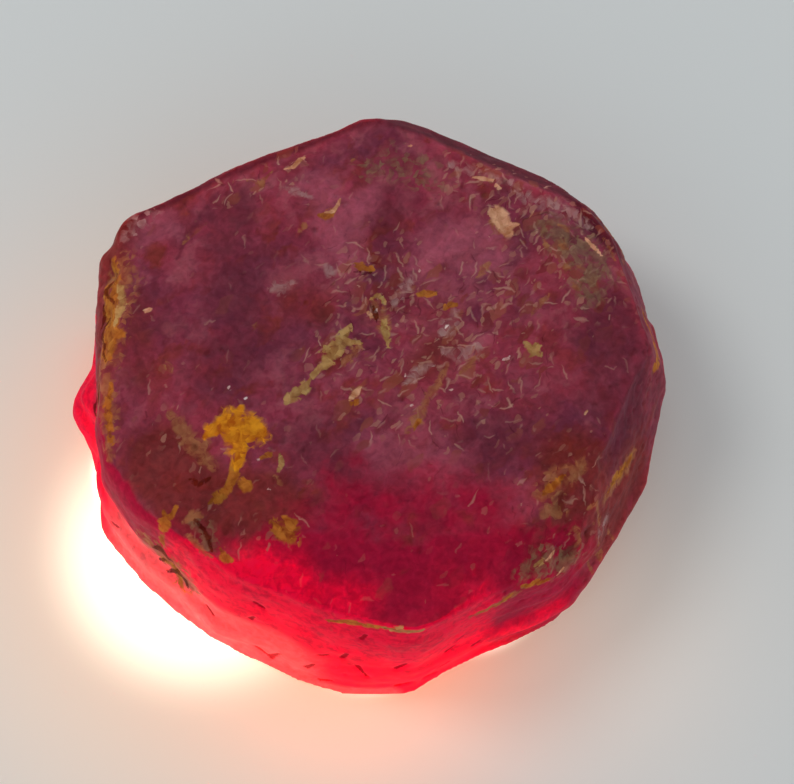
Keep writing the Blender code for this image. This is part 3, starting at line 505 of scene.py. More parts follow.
@dataclass(frozen=True)
class RubyFinish:
    """Natural ruby, corundum with chrome, in an etched and frosted skin as it broke from its rock.

    The ruby is see-through but cloudy: light goes in through the frosted skin, loses its green and blue
    within a few millimetres, and comes back red from silk and cracks inside. Towards the front and on the
    ledge, the glow of light from below is also painted into its colour, and so is the shade on its back rim.
    """

    name: str = "ruby_etched_natural"
    ior: float = 1.77  # corundum
    absorbed: float = 1300.0  # per metre: green is gone within 3 mm, red within 30 mm
    kept: tuple[float, float, float, float] = (0.955, 0.02, 0.30, 1.0)
    see_in: Pair = (0.03, 0.12)  # share of plain transmission, cloudy and clear
    scattered: float = 0.85
    scatter_radius: Point = (1.0, 0.10, 0.12)
    scatter_length: float = 0.0048  # metres that red light wanders inside
    gloss: float = 0.46  # roughness of the cleanest skin
    gloss_clouds: Pair = (0.3, 0.7)  # cloud noise over which it grows
    gloss_swing: float = 0.2  # by this much
    earthy: float = 0.8  # roughness of the minerals
    shine: float = 0.02  # an etched skin reflects little in any one direction
    sheen_tint: str = "#b06070"  # and its weak shine takes the ruby's colour
    deep_plum: str = "#7c3449"
    plum: str = "#9a3a4c"
    plum_levels: Pair = (0.38, 0.60)  # growth noise, from deep plum to plum
    step_luck: Pair = (0.2, 1.0)  # luck of a flat step, from its faintest tint to its strongest
    step_shades: Pair = (0.88, 1.10)  # how dark and how light a flat step is
    grain_size: float = 0.40  # etched grain that the eye still sees
    grain_levels: Pair = (0.30, 0.70)
    grain_shades: Pair = (0.80, 1.20)
    noise_roughness: float = 0.6
    pit_tone: str = "#4a1210"  # the colour that the pits darken towards
    pit_tone_shares: Pair = (0.45, 0.08)  # how far they darken, where the ruby is cloudy and clear
    zone_border: Pair = (0.12, 0.70)  # a mark's field where its zone begins and is full
    stain_border: float = 0.42  # a mark's field where its stain begins
    stain_least: float = 0.1  # below this its border can't reach
    crumb_size: float = 0.55  # what frays the stains
    cell_size: float = 0.36  # what makes their borders angular
    angular: float = 0.45  # how angular a border is
    blotchy: float = 0.20  # how angular the tones inside it are
    tone_levels: Pair = (0.32, 0.68)
    streak_spread: float = 2.6  # radians over which scratches turn from the streaks
    chip_squeeze: Point = (0.7, 1.35, 0.9)
    chip_least: float = 0.3  # the smallest chip, as a share of the largest
    chip_border: float = 0.10
    wisp_squeeze: Point = (1.0, 1.0, 0.8)
    wisp_least: float = 0.3  # the shortest scratch, as a share of the usual one
    wisp_core: float = 0.2  # share of a scratch's width that is full
    wisp_faintest: float = 0.35  # how strongly the shortest scratch shows
    scuff_blur: float = 0.2
    clouds: tuple[Cloud, ...] = (
        Cloud("#a45660", 0.44, 0.66, 0.2, 0.9),  # mauve silk
        Cloud("#88362c", 0.52, 0.36, 0.0, 0.9),  # rust, where there is little silk
    )
    zones: tuple[Zone, ...] = (
        Zone(Mark.VEIL, "#b0586a", 0.8, 0.66),
        Zone(Mark.GLOOM, "#722c3c", 0.8, 0.66),
        # painted shade
        Zone(Mark.SHADE, "#58202c", 0.5, 0.88),
        Zone(Mark.RUST, "#7c2c24", 0.9, 0.76),
        # painted glow from below: wholly in ember, partly in clear and rose, which also let light through
        Zone(Mark.PAINTED_EMBER, "#a81036", 1.0, 0.92),
        Zone(Mark.CLEAR, "#fc0a3e", 0.6, 0.97),
        Zone(Mark.ROSE_AND_GLOW, "#fa686c", 0.5, 0.85),
    )
    chips: tuple[Chips, ...] = (
        Chips(0.95, 0.68, 0.78, "#74241e", "#a05a42", 0.55, 0.0),
        Chips(0.42, 0.62, 0.66, "#86403a", "#c6927a", 0.52, 3.7),
    )
    wisps: tuple[Wisp, ...] = (
        Wisp(0.85, 0.60, 0.095, "#c89a86", 0.62, 1.00, 7.3),
        Wisp(1.00, 0.60, 0.060, "#440e18", 0.55, 0.80, 5.7),
    )
    stains: tuple[Stain, ...] = (
        Stain(Mark.FROST, "#925a5c", "#c09a94", 0.70, 0.55, 0.60),
        Stain(Mark.MOSS, "#583a30", "#8e7656", 0.80, 0.60, 0.62),
        Stain(Mark.TAN, "#84402a", "#b0744c", 0.70, 0.50, 0.74),
        Stain(Mark.OCHRE, "#84400f", "#c47c2c", 0.60, 0.30, 0.86),
        Stain(Mark.OLIVE, "#8a5c30", "#c49e62", 0.60, 0.24, 0.86),
        Stain(Mark.AMBER, "#b45c10", "#e69c20", 0.40, 0.36, 0.95),
        Stain(Mark.PEACH, "#b87850", "#e6b28e", 0.30, 0.24, 0.88),
        # painted glints: near-white specks that stand in for highlights
        Stain(Mark.PAINTED_GLINT, "#c48c86", "#f2dcd4", 0.20, 0.24, 0.90),
        Stain(Mark.BROWN, "#340a06", "#74200f", 0.50, 0.30, 0.86),
        Stain(Mark.NICK, "#84040f", "#b40c20", 0.30, 0.30, 0.80),
    )

    def scuffed(self, tree: bpy.types.NodeTree, luck: Source, share: float, cover: float) -> Source:
        """Which cells of a layer hold something: more of them where the skin is scuffed.

        Args:
            tree: The material's tree.
            luck: A random value for each cell.
            share: Share of the cells that hold something where the skin is fully scuffed.
            cover: How much of the ruby one of them hides.

        Returns:
            That cover, and 0 in the other cells.
        """
        field = add_node(tree, ATTRIBUTE, attribute_name=Mark.SCUFF.value).outputs["Fac"]
        wanted = add_node(tree, MATH, {0: field, 1: share}, operation="MULTIPLY")
        spare = add_node(tree, MATH, {0: wanted, 1: luck}, operation="SUBTRACT")
        return add_node(tree, MAP_RANGE, {0: spare, 1: 0.0, 2: self.scuff_blur, 4: cover})

    def cells(self, tree: bpy.types.NodeTree, place: Source, spacing: float, offset: float,
              squeeze: Point) -> tuple[Source, ...]:
        """A Voronoi pattern, with random values for each cell.

        Args:
            tree: The material's tree.
            place: The place in millimetres.
            spacing: Width of a cell.
            offset: Shifts the pattern.
            squeeze: Squeezes it along each axis.

        Returns:
            The shifted place, the Voronoi node and the three random values.
        """
        shifted = add_node(tree, "ShaderNodeMapping", {
            "Vector": place, "Location": (offset, offset, 0.0), "Scale": squeeze})
        cell = add_node(tree, VORONOI, {"Vector": shifted, "Scale": 1 / spacing})
        luck = add_node(tree, "ShaderNodeSeparateColor", {0: cell.outputs["Color"]}).outputs
        return shifted, cell, luck[0], luck[1], luck[2]

    def chip_layer(self, tree: bpy.types.NodeTree, place: Source, chips: Chips) -> tuple[Source, Source]:
        """Mask and colour of a layer of chips.

        Args:
            tree: The material's tree.
            place: The place in millimetres, warped so that the chips' borders are jagged.
            chips: The layer.

        Returns:
            The mask and the colour.
        """
        _, cell, chance, size, tone = self.cells(tree, place, chips.spacing, chips.offset, self.chip_squeeze)
        least = chips.size * self.chip_least
        radius = add_node(tree, MATH, {0: size, 1: chips.size - least, 2: least}, operation="MULTIPLY_ADD")
        inner = add_node(tree, MATH, {0: radius, 1: cell.outputs["Distance"]}, operation="SUBTRACT")
        body = add_node(tree, MAP_RANGE, {0: inner, 1: 0.0, 2: self.chip_border})
        there = self.scuffed(tree, chance, chips.share, chips.cover)
        mask = add_node(tree, MATH, {0: body, 1: there}, operation="MULTIPLY")
        colour = add_node(tree, MIX, {0: tone, 6: linear(chips.dark), 7: linear(chips.light)},
                          data_type="RGBA")
        return mask, colour.outputs[2]

    def wisp_layer(self, tree: bpy.types.NodeTree, place: Source, wisp: Wisp) -> Source:
        """Mask of a layer of lens-shaped scratches, thick where the skin is scuffed.

        Args:
            tree: The material's tree.
            place: The place in millimetres, bent a little so that the scratches curve.
            wisp: The layer.

        Returns:
            The mask.
        """
        shifted, cell, chance, turn, size = self.cells(
            tree, place, wisp.spacing, wisp.offset, self.wisp_squeeze)
        inside = add_node(tree, VECTOR_MATH, {0: shifted, 1: cell.outputs["Position"]}, operation="SUBTRACT")
        first_turn = STREAK_TURN - self.streak_spread / 2
        angle = add_node(tree, MATH, {0: turn, 1: self.streak_spread, 2: first_turn},
                         operation="MULTIPLY_ADD")
        turned = add_node(tree, VECTOR_ROTATE, {"Vector": inside, "Angle": angle}, rotation_type="Z_AXIS")
        axes = add_node(tree, SEPARATE_XYZ, {0: turned}).outputs
        least = wisp.half_length * self.wisp_least
        length = add_node(tree, MATH, {0: size, 1: wisp.half_length, 2: least}, operation="MULTIPLY_ADD")
        along = add_node(tree, MATH, {0: axes[0], 1: length}, operation="DIVIDE")
        bulge = add_node(tree, MATH, {0: along, 1: along}, operation="MULTIPLY")
        across = add_node(tree, MATH, {0: axes[1]}, operation="ABSOLUTE")
        used = add_node(tree, MATH, {0: across, 1: 1 / wisp.half_width, 2: bulge}, operation="MULTIPLY_ADD")
        lens = add_node(tree, MAP_RANGE, {0: used, 1: self.wisp_core, 2: 1.0, 3: 1.0, 4: 0.0})
        there = self.scuffed(tree, chance, wisp.share, wisp.cover)
        faint = add_node(tree, MAP_RANGE, {0: size, 3: self.wisp_faintest, 4: 1.0})
        shown = add_node(tree, MATH, {0: lens, 1: faint}, operation="MULTIPLY")
        return add_node(tree, MATH, {0: shown, 1: there}, operation="MULTIPLY")

    def border(self, tree: bpy.types.NodeTree, stain: Stain, fray: Source) -> Source:
        """Ragged mask of a stain.

        Args:
            tree: The material's tree.
            stain: The stain.
            fray: The fraying, about 0.5 on average.

        Returns:
            The mask.
        """
        field = add_node(tree, ATTRIBUTE, attribute_name=stain.mark.value).outputs["Fac"]
        swing = add_node(tree, MATH, {0: fray, 1: stain.ragged * 2, 2: -stain.ragged},
                         operation="MULTIPLY_ADD")
        total = add_node(tree, MATH, {0: field, 1: swing}, operation="ADD")
        present = add_node(tree, MAP_RANGE, {0: field, 1: 0.0, 2: self.stain_least})
        level = self.stain_border
        mask = add_node(tree, MAP_RANGE, {0: total, 1: level, 2: level + stain.soft, 4: stain.cover})
        return add_node(tree, MATH, {0: mask, 1: present}, operation="MULTIPLY")

    def own_colour(self, tree: bpy.types.NodeTree, noise: Source, steps: Source) -> Source:
        """The ruby's plum, deeper and paler by growth zone, with mauve silk and rust in flat steps.

        Args:
            tree: The material's tree.
            noise: The noise of the clouds.
            steps: The random values of each flat step.

        Returns:
            The colour.
        """
        growth = add_node(tree, ATTRIBUTE, attribute_name="growth").outputs["Fac"]
        share = add_node(tree, MAP_RANGE, {0: growth, 1: self.plum_levels[0], 2: self.plum_levels[1]})
        colour = add_node(tree, MIX, {0: share, 6: linear(self.deep_plum), 7: linear(self.plum)},
                          data_type="RGBA")
        for cloud, luck in zip(self.clouds, steps):
            tint = add_node(tree, MAP_RANGE, {0: noise, 1: cloud.start, 2: cloud.full})
            step = add_node(tree, MAP_RANGE, {
                0: luck, 1: self.step_luck[0], 2: self.step_luck[1], 3: cloud.least, 4: cloud.most})
            share = add_node(tree, MATH, {0: tint, 1: step}, operation="MULTIPLY")
            colour = add_node(tree, MIX, {0: share, 6: colour.outputs[2], 7: linear(cloud.colour)},
                              data_type="RGBA")
        return colour.outputs[2]

    def zoned(self, tree: bpy.types.NodeTree, colour: Source, noise: Source) -> tuple[Source, Source]:
        """Lay the zones of other depth, painted glow and painted shade over the ruby's own colour.

        Args:
            tree: The material's tree.
            colour: That colour.
            noise: The noise of the clouds, which frays the zones.

        Returns:
            The colour, and how clear the ruby is.
        """
        clear: Source = 0.0
        for zone in self.zones:
            field = add_node(tree, ATTRIBUTE, attribute_name=zone.mark.value).outputs["Fac"]
            swing = add_node(tree, MATH, {0: noise, 1: zone.ragged, 2: -zone.ragged / 2},
                             operation="MULTIPLY_ADD")
            total = add_node(tree, MATH, {0: field, 1: swing}, operation="ADD")
            mask = add_node(tree, MAP_RANGE, {
                0: total, 1: self.zone_border[0], 2: self.zone_border[1], 4: zone.share},
                interpolation_type="SMOOTHSTEP")
            colour = add_node(tree, MIX, {0: mask, 6: colour, 7: linear(zone.colour)},
                              data_type="RGBA").outputs[2]
            if zone.mark in (Mark.CLEAR, Mark.ROSE_AND_GLOW):
                clear = add_node(tree, MATH, {0: mask, 1: clear}, operation="MAXIMUM")
        return colour, clear

    def flaked(self, tree: bpy.types.NodeTree, colour: Source, place: Source) -> Source:
        """Lay the layers of chips and scratches over a colour.

        Args:
            tree: The material's tree.
            colour: The colour.
            place: The warped place in millimetres.

        Returns:
            The new colour.
        """
        turned = add_node(tree, "ShaderNodeMapping", {"Vector": place, "Rotation": (0.0, 0.0, STREAK_TURN)})
        layers = [self.chip_layer(tree, turned, chips) for chips in self.chips]
        layers += [(self.wisp_layer(tree, place, wisp), linear(wisp.colour)) for wisp in self.wisps]
        for mask, tone in layers:
            colour = add_node(tree, MIX, {0: mask, 6: colour, 7: tone}, data_type="RGBA").outputs[2]
        return colour

    def stained(self, tree: bpy.types.NodeTree, colour: Source, place: Source) -> tuple[Source, Source]:
        """Lay the minerals and the painted glints over a colour.

        Args:
            tree: The material's tree.
            colour: The colour.
            place: The warped place in millimetres.

        Returns:
            The new colour, and how much of the ruby the minerals hide.
        """
        crumb = add_node(tree, NOISE, {
            "Vector": place, "Scale": 1 / self.crumb_size, "Detail": 2.0, "Roughness": self.noise_roughness})
        _, _, *corners = self.cells(tree, place, self.cell_size, 0.0, (1.0, 1.0, 1.0))
        cover: Source = 0.0
        for index, stain in enumerate(self.stains):
            frayed, toned = (
                add_node(tree, MIX, {0: share, 2: crumb, 3: corners[index % 3]}, data_type="FLOAT")
                for share in (self.angular, self.blotchy))
            mask = self.border(tree, stain, frayed)
            tone = add_node(tree, MAP_RANGE, {0: toned, 1: self.tone_levels[0], 2: self.tone_levels[1]})
            mineral = add_node(tree, MIX, {0: tone, 6: linear(stain.dark), 7: linear(stain.light)},
                               data_type="RGBA").outputs[2]
            colour = add_node(tree, MIX, {0: mask, 6: colour, 7: mineral}, data_type="RGBA").outputs[2]
            cover = add_node(tree, MATH, {0: mask, 1: cover}, operation="MAXIMUM")
        return colour, cover

    def shaded(self, tree: bpy.types.NodeTree, colour: Source, place: Source, luck: Source) -> Source:
        """Darken and lighten a colour by the fine grain and by flat steps.

        Args:
            tree: The material's tree.
            colour: The colour.
            place: The warped place in millimetres.
            luck: A random value for each flat step.

        Returns:
            The new colour.
        """
        grain = add_node(tree, NOISE, {
            "Vector": place, "Scale": 1 / self.grain_size, "Detail": 2.0, "Roughness": self.noise_roughness})
        fine = add_node(tree, MAP_RANGE, {
            0: grain, 1: self.grain_levels[0], 2: self.grain_levels[1],
            3: self.grain_shades[0], 4: self.grain_shades[1]})
        coarse = add_node(tree, MAP_RANGE, {0: luck, 3: self.step_shades[0], 4: self.step_shades[1]})
        shade = add_node(tree, MATH, {0: fine, 1: coarse}, operation="MULTIPLY")
        return add_node(tree, VECTOR_MATH, {0: colour, "Scale": shade}, operation="SCALE")

    def build(self) -> bpy.types.Material:
        """Build the material.

        Returns:
            The material, with one Principled BSDF and plain volume absorption.
        """
        material = bpy.data.materials.new(self.name)
        material.use_nodes = True
        tree = material.node_tree
        tree.nodes.clear()
        place, step, noise, hollow = (
            add_node(tree, ATTRIBUTE, attribute_name=name).outputs[output]
            for name, output in (("warp", "Vector"), ("step", "Vector"), ("cloud", "Fac"), ("hollow", "Fac")))
        steps = add_node(tree, SEPARATE_XYZ, {0: step}).outputs
        colour, clear = self.zoned(tree, self.own_colour(tree, noise, steps), noise)
        colour = self.shaded(tree, colour, place, steps[2])
        colour, cover = self.stained(tree, self.flaked(tree, colour, place), place)
        pit_tone = add_node(tree, MAP_RANGE, {0: clear, 3: self.pit_tone_shares[0], 4: self.pit_tone_shares[1]})
        pit_toned = add_node(tree, MATH, {0: hollow, 1: pit_tone}, operation="MULTIPLY")
        colour = add_node(tree, MIX, {0: pit_toned, 6: colour, 7: linear(self.pit_tone)}, data_type="RGBA").outputs[2]

        inwards = add_node(tree, MAP_RANGE, {0: clear, 3: self.see_in[0], 4: self.see_in[1]})
        bare = add_node(tree, MAP_RANGE, {0: cover, 3: 1.0, 4: 0.0})
        through = add_node(tree, MATH, {0: inwards, 1: bare}, operation="MULTIPLY")
        etched = add_node(tree, MAP_RANGE, {
            0: noise, 1: self.gloss_clouds[0], 2: self.gloss_clouds[1],
            3: self.gloss, 4: self.gloss + self.gloss_swing})
        earthy = add_node(tree, MATH, {0: cover, 1: self.earthy}, operation="MULTIPLY")
        matt = add_node(tree, MATH, {0: etched, 1: earthy}, operation="MAXIMUM")
        ruby = add_node(tree, "ShaderNodeBsdfPrincipled", {
            "Base Color": colour, "Roughness": matt, "Transmission Weight": through, "IOR": self.ior,
            "Subsurface Weight": self.scattered, "Subsurface Radius": self.scatter_radius,
            "Subsurface Scale": self.scatter_length, "Specular IOR Level": self.shine,
            "Specular Tint": linear(self.sheen_tint),
        })
        inside = add_node(tree, "ShaderNodeVolumeAbsorption", {"Color": self.kept, "Density": self.absorbed})
        add_node(tree, "ShaderNodeOutputMaterial", {"Surface": ruby, "Volume": inside})
        return material


@dataclass
class Crystal:
    """The one piece: a worn, six-sided tabular ruby crystal with a ledge, on its flat base."""

    name: str = "raw_ruby_crystal"
    cell: float = 0.16  # side of the skin's squares
    weld: float = 0.002  # gap that the solid's seams may have
    soften_passes: int = 10
    soften_factor: float = 0.5
    base_slice: float = 0.07  # thickness of the slice that makes the underside flat
    base_fade: Pair = (0.1, 1.0)  # height where the relief begins and is full
    lump_width: float = 1.7
    lump_height: float = 0.10
    lump_detail: float = 2.0
    grain_width: float = 0.62
    grain_height: float = 0.055
    grain_detail: float = 3.0
    grain_shares: Pair = (0.45, 1.7)  # of that height, on sound skin and added on broken skin
    relief_roughness: float = 0.55
    pits_per_mm2: float = 0.55
    pit_radius: float = 0.26
    pit_depth: float = 0.10
    pit_least: float = 0.4  # the smallest pit, as a share of the largest
    pit_floor: float = 0.25  # share of its radius that is flat
    pits_on_sound: float = 0.15  # share of the pits that sound skin keeps
    nick_width: float = 0.42
    nick_depth: float = 0.12
    nick_taper: Pair = (0.7, 0.5)
    growth_size: float = 5.0  # zones of deeper and paler colour
    cloud_size: float = 1.5  # clouds of silk under the skin
    step_size: float = 1.15  # flat steps of the etched skin
    step_squeeze: Point = (0.7, 1.2, 1.0)
    noise_roughness: float = 0.6
    sway_scale: float = 1.3  # waves per millimetre that bend the patterns
    sway: float = 0.9  # how far they are bent
    fullness: float = 1.25  # a mark's field in its middle, cut off at 1
    outside: float = 40.0  # further out than any part of the crystal
    wall_radius: float = 12.6  # the walls lie further out than this
    wall_radius_blur: float = 0.8
    wall_lean: float = 0.90  # the walls' normals rise less than this
    wall_lean_blur: float = 0.32
    scuff_everywhere: float = 0.14
    wall_calm: float = 0.7  # how much less the walls are scuffed
    seed: int = 11
    finish: RubyFinish = RubyFinish()

    def skin_of(self, solid: bpy.types.Object) -> bpy.types.Object:
        """Copy the solid as one even, softened skin.

        Args:
            solid: The CAD node, which is left as it is.

        Returns:
            A new object at the origin.
        """
        mesh = solid.data.copy()
        shell = bmesh.new()
        shell.from_mesh(mesh)
        bmesh.ops.remove_doubles(shell, verts=shell.verts, dist=self.weld * MM)
        shell.to_mesh(mesh)
        shell.free()
        mesh.materials.clear()
        skin = bpy.data.objects.new(self.name, mesh)
        bpy.context.scene.collection.objects.link(skin)
        even = skin.modifiers.new("even skin", "REMESH")
        even.mode, even.voxel_size, even.use_smooth_shade = "VOXEL", self.cell * MM, True
        soft = skin.modifiers.new("worn edges", "SMOOTH")
        soft.factor, soft.iterations = self.soften_factor, self.soften_passes
        self.settle(skin)
        return skin

    def settle(self, skin: bpy.types.Object) -> None:
        """Turn what the modifiers make into the object's own plain mesh.

        Args:
            skin: The object, which loses its modifiers.
        """
        graph = bpy.context.evaluated_depsgraph_get()
        made = bpy.data.meshes.new_from_object(skin.evaluated_get(graph))
        skin.modifiers.clear()
        skin.data = made

    def flatten_base(self, mesh: bpy.types.Mesh) -> None:
        """Slice the underside off and close it with a flat face on the plane that the crystal rests on.

        Args:
            mesh: The skin's mesh.
        """
        shell = bmesh.new()
        shell.from_mesh(mesh)
        bmesh.ops.bisect_plane(
            shell, geom=shell.verts[:] + shell.edges[:] + shell.faces[:], dist=0.0,
            plane_co=(0.0, 0.0, self.base_slice * MM), plane_no=(0.0, 0.0, 1.0), clear_inner=True)
        rim = [edge for edge in shell.edges if edge.is_boundary]
        for vert in {vert for edge in rim for vert in edge.verts}:
            vert.co.z = 0.0
        bmesh.ops.triangle_fill(
            shell, edges=rim, use_dissolve=False, use_beauty=False, normal=(0.0, 0.0, -1.0))
        bmesh.ops.recalc_face_normals(shell, faces=shell.faces[:])
        shell.to_mesh(mesh)
        shell.free()

    def relief(self, tree: bpy.types.NodeTree, width: Source, height: Source, detail: float) -> Source:
        """Bumps of one width and height, to both sides of the skin.

        Args:
            tree: The node group.
            width: The bumps' width.
            height: Their height.
            detail: How much finer noise they carry.

        Returns:
            The height at each vertex.
        """
        position = add_node(tree, POSITION)
        scale = add_node(tree, MATH, {0: 1.0, 1: width}, operation="DIVIDE")
        noise = add_node(tree, NOISE, {
            "Vector": position, "Scale": scale, "Detail": detail, "Roughness": self.relief_roughness})
        swing = add_node(tree, MATH, {0: noise, 1: 2.0, 2: -1.0}, operation="MULTIPLY_ADD")
        return add_node(tree, MATH, {0: swing, 1: height}, operation="MULTIPLY")

    def pits(self, tree: bpy.types.NodeTree, given: Any, rough: Source) -> tuple[Source, Source]:
        """Small bowls scattered over the skin, thick where it is rough.

        Args:
            tree: The node group.
            given: Its inputs.
            rough: How rough the skin is.

        Returns:
            The bowls' shape, 1 in their middles, and their depth.
        """
        position = add_node(tree, POSITION)
        share = add_node(tree, MATH, {0: rough, 1: 1 - self.pits_on_sound, 2: self.pits_on_sound},
                         operation="MULTIPLY_ADD")
        thickness = add_node(tree, MATH, {0: given["Pit Density"], 1: share}, operation="MULTIPLY")
        seeds = add_node(tree, "GeometryNodeDistributePointsOnFaces", {
            "Mesh": given["Geometry"], "Density": thickness, "Seed": given["Seed"]},
            distribute_method="RANDOM")
        size = add_node(tree, "FunctionNodeRandomValue", {
            2: self.pit_least, 3: 1.0, "Seed": given["Seed"]}, data_type="FLOAT")
        nearest = add_node(tree, "GeometryNodeSampleNearest", {"Geometry": seeds}, domain="POINT")
        middle, relative = (
            add_node(tree, "GeometryNodeSampleIndex", {"Geometry": seeds, "Value": value, "Index": nearest},
                     data_type=kind, domain="POINT")
            for value, kind in ((position, "FLOAT_VECTOR"), (size.outputs[1], "FLOAT")))
        radius = add_node(tree, MATH, {0: given["Pit Radius"], 1: relative}, operation="MULTIPLY")
        gap = add_node(tree, VECTOR_MATH, {0: position, 1: middle}, operation="DISTANCE").outputs["Value"]
        reach = add_node(tree, MATH, {0: gap, 1: radius}, operation="DIVIDE")
        bowl = add_node(tree, MAP_RANGE, {0: reach, 1: self.pit_floor, 2: 1.0, 3: 1.0, 4: 0.0},
                        interpolation_type="SMOOTHSTEP")
        depth = add_node(tree, MATH, {0: given["Pit Depth"], 1: relative}, operation="MULTIPLY")
        return bowl, depth

    def patterns(self, tree: bpy.types.NodeTree, given: Any) -> dict[str, tuple[str, Source]]:
        """Fields that the finish reads: growth zones, clouds of silk, flat steps and the warped place.

        Args:
            tree: The node group.
            given: Its inputs.

        Returns:
            Each attribute's type and source, by its name.
        """
        place = add_node(tree, VECTOR_MATH, {0: add_node(tree, POSITION), "Scale": 1 / MM}, operation="SCALE")
        sway = add_node(tree, NOISE, {
            "Vector": place, "Scale": self.sway_scale, "Detail": 2.0, "Roughness": self.noise_roughness})
        warp = add_node(tree, VECTOR_MATH, {0: sway.outputs["Color"], 1: (self.sway,) * 3, 2: place},
                        operation="MULTIPLY_ADD")
        growth, cloud, step = (add_node(tree, MATH, {0: 1.0, 1: given[size]}, operation="DIVIDE")
                               for size in ("Growth Size", "Cloud Size", "Step Size"))
        growth, cloud = (
            add_node(tree, NOISE, {
                "Vector": warp, "Scale": scale, "Detail": detail, "Roughness": self.noise_roughness})
            for scale, detail in ((growth, 2.0), (cloud, 3.0)))
        turned = add_node(tree, VECTOR_ROTATE, {"Vector": warp, "Angle": STREAK_TURN}, rotation_type="Z_AXIS")
        streaked = add_node(tree, VECTOR_MATH, {0: turned, 1: self.step_squeeze}, operation="MULTIPLY")
        step = add_node(tree, VORONOI, {"Vector": streaked, "Scale": step}).outputs["Color"]
        return {"growth": ("FLOAT", growth), "cloud": ("FLOAT", cloud),
                "step": ("FLOAT_VECTOR", step), "warp": ("FLOAT_VECTOR", warp)}

    def weathering(self) -> bpy.types.NodeTree:
        """Geometry Nodes that etch the skin: soft lumps, grain where it is rough, and scattered pits.

        Returns:
            The node group, with its sizes as named inputs.
        """
        tree = bpy.data.node_groups.new("weathered_skin", "GeometryNodeTree")
        sizes = ("Lump Width", "Lump Height", "Grain Width", "Grain Height", "Pit Density", "Pit Radius",
                 "Pit Depth", "Growth Size", "Cloud Size", "Step Size")
        kinds = {"Geometry": "Geometry"} | dict.fromkeys(sizes, "Float")
        kinds |= {"Seed": "Int", "Finish": "Material"}
        for label, kind in kinds.items():
            tree.interface.new_socket(label, in_out="INPUT", socket_type=f"NodeSocket{kind}")
        tree.interface.new_socket("Geometry", in_out="OUTPUT", socket_type="NodeSocketGeometry")
        given = add_node(tree, "NodeGroupInput").outputs
        rough = add_node(tree, "GeometryNodeInputNamedAttribute", {"Name": Mark.ROUGH.value})
        lumps = self.relief(tree, given["Lump Width"], given["Lump Height"], self.lump_detail)
        grain = self.relief(tree, given["Grain Width"], given["Grain Height"], self.grain_detail)
        rugged = add_node(tree, MATH, {0: rough, 1: self.grain_shares[1], 2: self.grain_shares[0]},
                          operation="MULTIPLY_ADD")
        raised = add_node(tree, MATH, {0: grain, 1: rugged, 2: lumps}, operation="MULTIPLY_ADD")
        bowl, depth = self.pits(tree, given, rough)
        sunk = add_node(tree, MATH, {0: bowl, 1: depth}, operation="MULTIPLY")
        total = add_node(tree, MATH, {0: raised, 1: sunk}, operation="SUBTRACT")

        height = add_node(tree, SEPARATE_XYZ, {0: add_node(tree, POSITION)}).outputs[2]
        low, full = self.base_fade
        above_base = add_node(tree, MAP_RANGE, {0: height, 1: low * MM, 2: full * MM})
        faded = add_node(tree, MATH, {0: total, 1: above_base}, operation="MULTIPLY")
        normal = add_node(tree, "GeometryNodeInputNormal")
        push = add_node(tree, VECTOR_MATH, {0: normal, "Scale": faded}, operation="SCALE")
        made = add_node(tree, "GeometryNodeSetPosition", {"Geometry": given["Geometry"], "Offset": push})
        for name, (kind, value) in ({"hollow": ("FLOAT", bowl)} | self.patterns(tree, given)).items():
            made = add_node(tree, "GeometryNodeStoreNamedAttribute", {
                "Geometry": made, "Name": name, "Value": value}, data_type=kind, domain="POINT")
        real = add_node(tree, "GeometryNodeRealizeInstances", {"Geometry": made})
        dressed = add_node(tree, "GeometryNodeSetMaterial", {"Geometry": real, "Material": given["Finish"]})
        add_node(tree, "NodeGroupOutput", {"Geometry": dressed})
        return tree

    def weather(self, skin: bpy.types.Object, material: bpy.types.Material) -> None:
        """Etch the skin and give it its finish.

        Args:
            skin: The skin, which must carry the attribute that says where it is rough.
            material: Its finish.
        """
        tree = self.weathering()
        etched = skin.modifiers.new("weathered skin", "NODES")
        etched.node_group = tree
        values = {
            "Lump Width": self.lump_width * MM, "Lump Height": self.lump_height * MM,
            "Grain Width": self.grain_width * MM, "Grain Height": self.grain_height * MM,
            "Pit Density": self.pits_per_mm2 / MM**2, "Pit Radius": self.pit_radius * MM,
            "Pit Depth": self.pit_depth * MM, "Growth Size": self.growth_size, "Cloud Size": self.cloud_size,
            "Step Size": self.step_size, "Seed": self.seed, "Finish": material,
        }
        for socket in tree.interface.items_tree:
            if socket.in_out == "INPUT" and socket.name in values:
                etched[socket.identifier] = values[socket.name]
        self.settle(skin)

    def read(self, mesh: bpy.types.Mesh, name: str) -> np.ndarray:
        """Read a vector of each of a mesh's vertices, such as "co" or "normal", one row each."""
        values = np.empty(len(mesh.vertices) * 3, np.float32)
        mesh.vertices.foreach_get(name, values)
        return values.reshape(-1, 3).astype(float)

    def place(self, mesh: bpy.types.Mesh, places: np.ndarray) -> None:
        """Put a mesh's vertices at these places, given in millimetres."""
        mesh.vertices.foreach_set("co", (places * MM).astype(np.float32).ravel())
        mesh.update()

    def lay(self, mesh: bpy.types.Mesh, mark: Mark, field: np.ndarray) -> None:
        """Store a mark's field on the mesh's vertices, as an attribute of its name."""
        attribute = mesh.attributes.get(mark.value) or mesh.attributes.new(mark.value, "FLOAT", "POINT")
        attribute.data.foreach_set("value", field.astype(np.float32))

